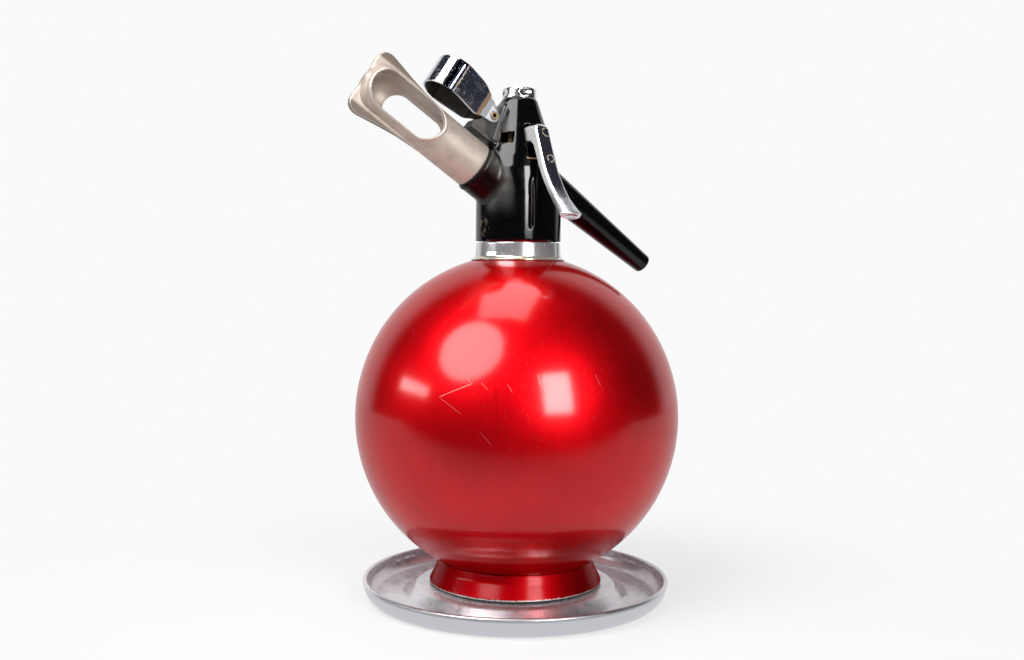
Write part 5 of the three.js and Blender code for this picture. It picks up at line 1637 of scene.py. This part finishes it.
    def build(self, finishes: Finishes) -> None:
        """Makes and dresses the head's pieces."""
        casing = self.outside().cut(self.hollow(), 0.35)
        low, high = low_corner("head_casing") - 1, high_corner("head_casing") + 1
        fit(casing.surface("head_shell", low, high, 0.56), "head", "head_casing", finishes.black)
        low, high = low_corner("top_cap") - [1.5, 1.5, 3.5], high_corner("top_cap") + 1.5
        fit(self.cap().surface("cap_knob", low, high, 0.22), "head", "top_cap", finishes.cap)
        for piece, node, finish in self.small_parts(finishes):
            fit(piece.build(), "head", node, finish)
        self.dress_valve(finishes)

    def dress_valve(self, finishes: Finishes) -> None:
        """Gives the sealed parts of the valve, which keep their CAD shapes, their finishes."""
        kept = {"valve_body": finishes.brass, "valve_gland": finishes.brass, "valve_seat": finishes.steel,
                "valve_stem": finishes.steel, "valve_washer": finishes.rubber,
                "piercing_pin": finishes.steel, "charger_seal": finishes.rubber}
        for name, finish in kept.items():
            for slot in frame["nodes"][name].material_slots:
                slot.material = finish.material
            log.info("%s keeps its CAD shape", name)


@dataclass
class ValveSpring:
    """The coil that shuts the valve, built at its length at rest; the real coil shortens as the valve lifts.
    """

    radius: float = 3.15
    wire: float = 0.36
    base: float = 230.96
    top: float = 235.47
    turns: float = 3.5
    lift: float = 2.7
    steps: int = 168
    sides: int = 16

    def build(self, finishes: Finishes) -> None:
        """point(u, v) = coil(u) + wire · (cos v · outwards + sin v · upwards)."""
        turn = np.linspace(0.0, self.turns, self.steps + 1)
        turn = np.concatenate([turn[:1], turn, turn[-1:]])[:, None]
        wire = np.full_like(turn, self.wire)
        wire[[0, -1]] = 0.0
        low, high = self.base + self.wire, self.top - self.wire
        spin = np.linspace(0.0, math.tau, self.sides, endpoint=False)[None, :]
        reach = self.radius + wire * np.cos(spin)
        level = low + (high - low) * turn / self.turns + wire * np.sin(spin)
        points = np.stack([reach * np.cos(turn * math.tau), reach * np.sin(turn * math.tau), level], -1)
        coil = mesh_object("valve_coil", points.reshape(-1, 3), grid_faces(len(turn), self.sides, False))
        fit(coil, "head", "valve_spring", finishes.steel)
        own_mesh(coil)


@dataclass
class Lever:
    """The squeeze lever: an arm and cheeks at the pivot, and a bar that flares to a dished oval toe."""

    pivot_out: float = 13.4
    pivot_height: float = 250.515
    reach: float = 44.2
    drop: float = 44.2
    shoulder: float = 4.2
    half_width: float = 4.15
    toe_half_width: float = 6.3
    flare: float = 14.0
    thickness: tuple = (7.0, 4.6)
    crown: float = 0.6
    edge: float = 1.25
    arm_end: float = -1.4
    arm_half: float = 1.2
    arm_share: float = 1.2
    fork_half: float = 1.6
    pin_hole: float = 1.4
    dish_place: tuple = (0, -56.1, 204.0)
    dish_way: tuple = (0, -0.78, -0.626)
    dish: tuple = (4.4, 1.7, 1.0)
    top_shares: tuple = ((-0.5, 0.75), (1 / 3, 1), (2.2, 0.96))
    cheek_shares: tuple = ((1.3, -1.35), (0, -1.35), (-0.8, -0.85))
    back_shares: tuple = ((0.275, 0.045), (0.308, -0.03), (0.337, -0.1), (0.395, -0.23), (0.456, -0.37),
                          (0.53, -0.505), (0.655, -0.675), (0.78, -0.815), (0.894, -0.915), (1.0, -1.0))

    def near_pivot(self, shares: tuple) -> list:
        """Places about the pivot, given in shares of the shoulder."""
        return [[self.pivot_out + self.shoulder * out, self.pivot_height + self.shoulder * up]
                for out, up in shares]

    def side_view(self) -> Array:
        """The lever's outline in [y, z]: its back curve, and that curve set in by the thickness."""
        back = np.array(self.back_shares) * [self.reach, self.drop] + [self.pivot_out, self.pivot_height]
        bar = back[2:]
        run = np.vstack([bar[1:], bar[-1:]]) - np.vstack([bar[:1], bar[:-1]])
        run = run / np.linalg.norm(run, axis=1, keepdims=True)
        share = np.linspace(0, 1, len(bar))[:, None]
        thick = self.thickness[0] * (1 - share) + self.thickness[1] * share
        inner = bar + np.stack([run[:, 1], -run[:, 0]], 1) * thick
        arm = self.pivot_out - self.arm_share * self.shoulder
        over, under = self.pivot_height + self.arm_half, self.pivot_height - self.arm_half
        outline = [[self.arm_end, over], [arm, over], *self.near_pivot(self.top_shares), *back,
                   *inner[::-1], *self.near_pivot(self.cheek_shares), [arm, under], [self.arm_end, under]]
        bends = [0.4, 1.0, 3.0, 4.0, 5.0] + [9.0] * (len(back) - 1) + [0.7, 0.7] + [12.0] * (len(inner) - 1)
        bends += [2.5, 2.5, 2.0, 0.8, 0.4]
        return rounded(np.array(outline) * [-1, 1], bends, True, 5)

    def front_view(self) -> list:
        """The lever's outline in [x, z]: straight at the pivot and flared at the toe."""
        toe = self.pivot_height - self.drop
        spread = self.toe_half_width - self.half_width
        flare = arc((self.toe_half_width, toe + self.flare), (spread, self.flare), 180, 270, 12)[::-1]
        crest = arc((self.half_width - 2.6, self.pivot_height + 1.0), (2.6, 3.9), 0, 80, 8)
        half = [[self.toe_half_width, toe - 9], *flare, *crest, [0.9, self.pivot_height + 9]]
        return half + [[-x, z] for x, z in half[::-1]]

    def solid(self) -> Solid:
        """Side and front view, met with rounded edges, less the fork, the pin's hole and the toe's dish."""
        side, face = self.side_view(), self.front_view()

        def distance(p: Array) -> Array:
            """Distance of the points p."""
            crown = self.crown * (p[:, 0] / self.half_width) ** 2
            crowned = outline_distance(p[:, 1], p[:, 2], side) + crown
            return rounded_meet(crowned, outline_distance(p[:, 0], p[:, 2], face), self.edge)

        fork = Solid.block([-self.fork_half, -self.fork_half, self.pivot_height - 9],
                           [self.fork_half, 9, self.pivot_height + 9])
        pivot = frame_of([0, -self.pivot_out, self.pivot_height], [0, 1, 0], [1, 0, 0])
        hole = Solid.rod(self.pin_hole, -9, 9).placed(pivot)
        dish = Solid.oval(frame_of(self.dish_place, [1, 0, 0], self.dish_way), self.dish)
        return Solid(distance).cut(fork, 0.2).cut(hole, 0.2).cut(dish, 0.25)

    def build(self, finishes: Finishes) -> None:
        """Makes and dresses the lever."""
        obj = self.solid().surface("lever_bar", low_corner("lever") - 1.6, high_corner("lever") + 1.6, 0.3)
        fit(obj, "lever", "lever", finishes.lever)


@dataclass
class PortCover:
    """The cup-shaped cover of bent sheet, open below and at its back, with two ears on the rivet."""

    radius: float = 12.6
    reach: float = 27.2
    sheet: float = 1.1
    drop: float = 7.2
    rise: float = 10.6
    ear: float = 3.9
    half_gap: float = 4.9
    hole: float = 2.0

    def plan(self, inset: float) -> list:
        """The cover's outline from above, set in by an inset.

        Args:
            inset: how far it is set in.

        Returns:
            The corners.
        """
        side, radius = self.half_gap + self.sheet - inset, self.radius - inset
        lean = math.degrees(math.asin((radius - side) / (self.reach - self.ear)))
        end = arc((self.reach, 0), (radius, radius), -90 - lean, 90 + lean, 40)
        return [[-self.ear - 3, -side], [self.ear, -side], *end, [self.ear, side], [-self.ear - 3, side]]

    def side(self, inset: float, drop: float) -> Array:
        """The cover's outline from the side, set in at its top and let down at its mouth.

        Args:
            inset: how far its top is set in.
            drop: how far its mouth is let down.

        Returns:
            The points.
        """
        tip, mouth, rise = self.reach + self.radius + 3, -self.drop - drop, self.rise - inset
        ear = arc((0, 0), (self.ear, self.ear), 130, 250, 10)
        outline = [*ear, [self.ear * 1.5, -self.ear * 1.2 - drop], [self.ear * 2.6, mouth], [tip, mouth],
                   [tip, rise], [self.ear * 3.3, rise], [self.ear * 0.75, rise - self.ear * 1.1]]
        bends = [0.0] * len(ear) + [2.5, 5.0, 0.5, 0.5, 16.0, 5.0]
        return rounded(outline, bends, True, 8)

    def cup(self, inset: float, drop: float, edge: float) -> Solid:
        """Plan and side view, met with a rounded edge.

        Args:
            inset: how far both are set in.
            drop: how far the mouth is let down.
            edge: radius of the edge.

        Returns:
            The solid.
        """
        plan, side = self.plan(inset), self.side(inset, drop)
        return Solid(lambda p: rounded_meet(
            outline_distance(p[:, 0], p[:, 1], plan), outline_distance(p[:, 0], p[:, 2], side), edge))

    def mark_inside(self, obj: bpy.types.Object, inner: Solid) -> None:
        """Keeps on each point how far it lies inside, as the attribute "inside" from 0 to 1.

        Args:
            obj: the cover.
            inner: the solid that its sheet encloses.
        """
        points = np.empty(len(obj.data.vertices) * 3)
        obj.data.vertices.foreach_get("co", points)
        depth = inner.placed(COVER_FRAME).distance(points.reshape(-1, 3) / MM)
        keep_on_points(obj, "inside", np.clip(1 - depth / 0.35, 0, 1))

    def build(self, finishes: Finishes) -> None:
        """Makes and dresses the cover, and marks its inside."""
        outer = Solid(lambda p: np.maximum(self.cup(0, 6, 1.9).distance(p), self.cup(0, 0, 0).distance(p)))
        inner = self.cup(self.sheet, 6, 0.9)
        back = Solid.block([-self.ear - 3, -self.half_gap, -self.drop - 3],
                           [self.ear * 1.5, self.half_gap, self.rise + 3])
        hole = Solid.rod(self.hole, -9, 9).placed(frame_of([0, 0, 0], [1, 0, 0], [0, 1, 0]))
        shell = outer.cut(inner, 0.3).cut(back, 0.3).cut(hole, 0.2).placed(COVER_FRAME)
        low, high = low_corner("port_cover") - 0.6, high_corner("port_cover") + 0.6
        obj = shell.surface("cover_cup", low, high, 0.33)
        self.mark_inside(obj, inner)
        fit(obj, "cover", "port_cover", finishes.cover)


@dataclass
class ChargerHolder:
    """The cast holder: a round-ended barrel with two wings, two oval windows and a boss at its end."""

    start: float = 32.8
    length: float = 74.7
    radius: float = 12.5
    dome_share: float = 0.8
    bore: float = 9.7
    end_wall: float = 4.6
    wing: float = 3.2
    wing_reach: float = 18.5
    boss: tuple = (2.9, 3.2, 2.9)
    rim: float = 1.35
    rim_rise: float = 0.55
    front_window: tuple = (61.2, 104.6, 9.9)
    back_window: tuple = (51.2, 89.2, 8.8)
    wing_shares: tuple = ((0.68, 0.33), (0.715, 0.46), (0.755, 0.58), (0.85, 0.72), (0.93, 0.82),
                          (0.985, 0.89), (1.0, 0.925), (0.945, 0.968), (0.82, 0.992), (0.6, 1.0),
                          (0.0, 0.985))
    gasket: tuple = ((12.2, 31.9), (12.2, 32.5), (9.4, 32.5), (9.4, 31.9))

    def windows(self, grow: float, start: float) -> list:
        """Both round-ended windows as plates, grown all round, from a distance to the axis outwards.

        Args:
            grow: how far they are grown.
            start: their distance to the axis.

        Returns:
            Both plates.
        """
        plates = []
        for (low, high, half), sign in ((self.front_window, -1), (self.back_window, 1)):
            reach = half + grow
            outline = [*arc((0, low + half), (reach, reach), 180, 360, 24),
                       *arc((0, high - half), (reach, reach), 0, 180, 24)]
            plates.append(Solid.plate(outline, *sorted((sign * start, sign * 20.0))))
        return plates

    def solid(self) -> Solid:
        """Barrel, wings, rims round the windows and the end's boss, less bore and windows."""
        end, rise = self.start + self.length, self.dome_share * self.radius
        dome = arc((0, end - rise), (self.radius, rise), 0, 90, 24)
        bends = [0, 0.9] + [0.0] * len(dome)
        barrel = Solid.turned([[0, self.start], [self.radius, self.start], *dome], bends)
        top = [[a * self.wing_reach, self.start + b * self.length] for a, b in self.wing_shares]
        wings = rounded(top + [[-x, z] for x, z in top[::-1][1:]], 5.0, True, 4)
        body = barrel.join(Solid.plate(wings, -self.wing / 2, self.wing / 2, 0.7), 0.5)
        body = body.join(Solid.oval(frame_of([0, -3.4, end - 2.2], [1, 0, 0], UPWARDS), self.boss), 0.9)
        for rim in self.windows(self.rim, 2.0):
            body = body.join(rim.meet(barrel.grown(self.rim_rise), 0.35), 0.15)
        inner = arc((0, end - self.end_wall - self.bore), (self.bore, self.bore), 0, 90, 24)
        body = body.cut(Solid.turned([[0, self.start - 3], [self.bore, self.start - 3], *inner]), 0.4)
        for window in self.windows(0.0, 0.0):
            body = body.cut(window, 0.35)
        return body

    def build(self, finishes: Finishes) -> None:
        """Makes and dresses the holder and its gasket."""
        low, high = low_corner("charger_holder") - 0.8, high_corner("charger_holder") + 0.8
        obj = self.solid().placed(HOLDER_FRAME).surface("holder_body", low, high, 0.45)
        fit(obj, "holder", "charger_holder", finishes.cast)
        washer = Turned("holder_washer", self.gasket, 0.2, True, 96, HOLDER_FRAME)
        fit(washer.build(), "holder_gasket", "port_gasket", finishes.rubber)


# The studio


class LampShape(Enum):
    """Outline of a softbox."""

    SQUARE = "RECTANGLE"
    ROUND = "ELLIPSE"


@dataclass(frozen=True)
class Lamp:
    """A softbox.

    Attributes:
        name: the lamp's name.
        shape: the softbox's outline.
        toward: its direction from the object as [right, up, toward the camera].
        far: its distance in metres.
        size: its two sides in metres.
        power: its power in watts.
        aim: the point that it faces, in millimetres.
    """

    name: str
    shape: LampShape
    toward: tuple
    far: float
    size: tuple
    power: float
    aim: tuple = (0, 0, 120)


@dataclass
class Studio:
    """Camera, lamps, world and floor."""

    place: tuple = (-289.95, -531.0, 170.0)
    azimuth: float = 28.4
    pitch: float = 2.32
    roll: float = 0.5
    lens: float = 39.02
    shift: float = -0.00074
    background: tuple = (0.956, 0.956, 0.956)
    fill: tuple = (0.5, 0.5, 0.51)
    fill_strength: float = 0.6
    dark: tuple = (0.030, 0.031, 0.040)
    pale: tuple = (0.80, 0.80, 0.81)
    floor_shades: tuple = ((0.66, 0.66, 0.665), (0.68, 0.68, 0.68))
    near_floor: tuple = (0.70, 0.70, 0.71)
    far_floor: tuple = (0.03, 0.03, 0.035)
    floor_rings: tuple = (0.0, 300.0, 900.0, 2400.0)
    floor_drop: float = 0.05
    lamps: tuple = (Lamp("ceiling_box", LampShape.SQUARE, (-0.08, 1.0, -0.02), 1.3, (0.80, 0.64), 6.5),
                    Lamp("left_octagon", LampShape.ROUND, (-0.479, 0.708, 0.519), 1.3, (0.95, 0.95), 17.0),
                    Lamp("right_box", LampShape.SQUARE, (0.44, 0.325, 0.83), 1.35, (0.45, 0.60), 14.0),
                    Lamp("left_strip", LampShape.SQUARE, (-0.949, 0.262, 0.201), 2.6, (1.15, 0.26), 9.0))

    def rightwards(self) -> Array:
        """The level direction to the camera's right."""
        turn = math.radians(self.azimuth)
        return np.array([math.cos(turn), -math.sin(turn), 0.0])

    def towards_camera(self) -> Array:
        """The level direction from the object towards the camera."""
        turn = math.radians(self.azimuth)
        return np.array([-math.sin(turn), -math.cos(turn), 0.0])

    def camera(self) -> None:
        """Adds the camera at the photograph's place."""
        tip, lean = math.radians(self.pitch), math.radians(self.roll)
        right = self.rightwards()
        back = math.cos(tip) * self.towards_camera() + math.sin(tip) * np.array(UPWARDS)
        leaned = math.cos(lean) * right + math.sin(lean) * np.cross(back, right)
        data = bpy.data.cameras.new("camera")
        data.lens, data.sensor_width, data.shift_x = self.lens, 36.0, self.shift
        data.clip_start, data.clip_end = 0.01, 50.0
        obj = bpy.data.objects.new("camera", data)
        obj.matrix_world = Matrix(frame_of(np.array(self.place) * MM, leaned, back).tolist())
        bpy.context.scene.collection.objects.link(obj)
        bpy.context.scene.camera = obj

    def add_lamp(self, lamp: Lamp) -> None:
        """Adds a softbox."""
        axes = np.array([self.rightwards(), UPWARDS, self.towards_camera()])
        way = np.array(lamp.toward) @ axes
        way = way / np.linalg.norm(way)
        data = bpy.data.lights.new(lamp.name, "AREA")
        data.shape, data.energy = lamp.shape.value, lamp.power
        data.size, data.size_y = lamp.size
        obj = bpy.data.objects.new(lamp.name, data)
        obj.location = np.array(lamp.aim) * MM + way * lamp.far
        obj.rotation_euler = Vector(way.tolist()).to_track_quat("Z", "Y").to_euler()
        bpy.context.scene.collection.objects.link(obj)

    def world(self) -> None:
        """A white background for the camera; a studio for reflections, dark in front and pale behind."""
        world = bpy.data.worlds.new("studio")
        world.use_nodes = True
        paint = Graph(world.node_tree)
        way = paint.node("TexCoord", {}, {}).outputs["Generated"]
        front = paint.dot(way, self.towards_camera().tolist())
        behind = front.step(-0.40, -0.66) * paint.dot(way, UPWARDS).step(0.96, 0.80)
        shade = paint.mix(behind, self.dark, self.pale)
        rays = paint.node("LightPath", {}, {})
        soft = paint.node("Background", {}, {"Color": self.fill, "Strength": self.fill_strength})
        seen = paint.node("Background", {}, {"Color": self.background, "Strength": 1.0})
        mirrored = paint.node("Background", {}, {"Color": shade, "Strength": 1.0})
        first = paint.node("MixShader", {}, {
            0: rays.outputs["Is Glossy Ray"], 1: soft.outputs[0], 2: mirrored.outputs[0]})
        shown = Num(paint, rays.outputs["Is Camera Ray"]).most(rays.outputs["Is Transmission Ray"])
        second = paint.node("MixShader", {}, {0: shown, 1: first.outputs[0], 2: seen.outputs[0]})
        paint.node("OutputWorld", {}, {0: second.outputs[0]})
        bpy.context.scene.world = world

    def floor_mesh(self) -> bpy.types.Object:
        """A wide round floor just under the object: point(u, v) = (r(v) cos u, r(v) sin u, -drop)."""
        angle = np.linspace(0, 2 * math.pi, 96, endpoint=False)
        radius = np.array(self.floor_rings)[:, None]
        level = np.full((len(radius), len(angle)), -self.floor_drop)
        points = np.stack([radius * np.cos(angle), radius * np.sin(angle), level], -1)
        obj = mesh_object("floor", points.reshape(-1, 3), grid_faces(len(radius), 96, False))
        if obj.data.polygons[-1].normal.z < 0:
            obj.data.flip_normals()
        return obj

    def floor(self) -> None:
        """A wide pale floor that keeps the object's soft shadow."""
        obj = self.floor_mesh()
        paint = Paint("floor", Metallic=0.0, Roughness=0.6, Specular_IOR_Level=0.25)
        paint.set(Base_Color=paint.mix(paint.noise(60.0, 3.0, 0.5), *self.floor_shades))
        rays = paint.node("LightPath", {}, {})
        away = paint.reach(paint.place, (1, 1, 0))
        seen = Num(paint, rays.outputs["Is Camera Ray"]) * (away.step(110.0, 330.0) * 0.32 + 0.68)
        ahead = paint.dot(paint.place, self.towards_camera().tolist())
        mirrored = Num(paint, rays.outputs["Is Glossy Ray"])
        reflected = paint.mix(ahead.step(130.0, 420.0), self.near_floor, self.far_floor)
        glow = paint.mix(mirrored, self.background, reflected)
        light = paint.node("Emission", {}, {"Color": glow, "Strength": 1.0})
        mixed = paint.node("MixShader", {}, {
            0: seen.most(mirrored), 1: paint.shader.outputs[0], 2: light.outputs[0]})
        paint.tree.links.new(mixed.outputs[0], paint.output.inputs[0])
        obj.data.materials.append(paint.material)

    def build(self) -> None:
        """Sets up the studio."""
        self.camera()
        self.world()
        self.floor()
        for lamp in self.lamps:
            self.add_lamp(lamp)


def main() -> None:
    """Builds the siphon's pieces and the studio."""
    logging.basicConfig(level=logging.INFO, format="%(name)s: %(message)s")
    bpy.context.scene.view_settings.view_transform = "Standard"
    Studio().build()
    finishes = Finishes()
    parts = (DripTray(), Vessel(), DipTube(), Head(), ValveSpring(), Lever(), PortCover(), ChargerHolder())
    for part in parts:
        part.build(finishes)


if __name__ == "__main__":
    main()
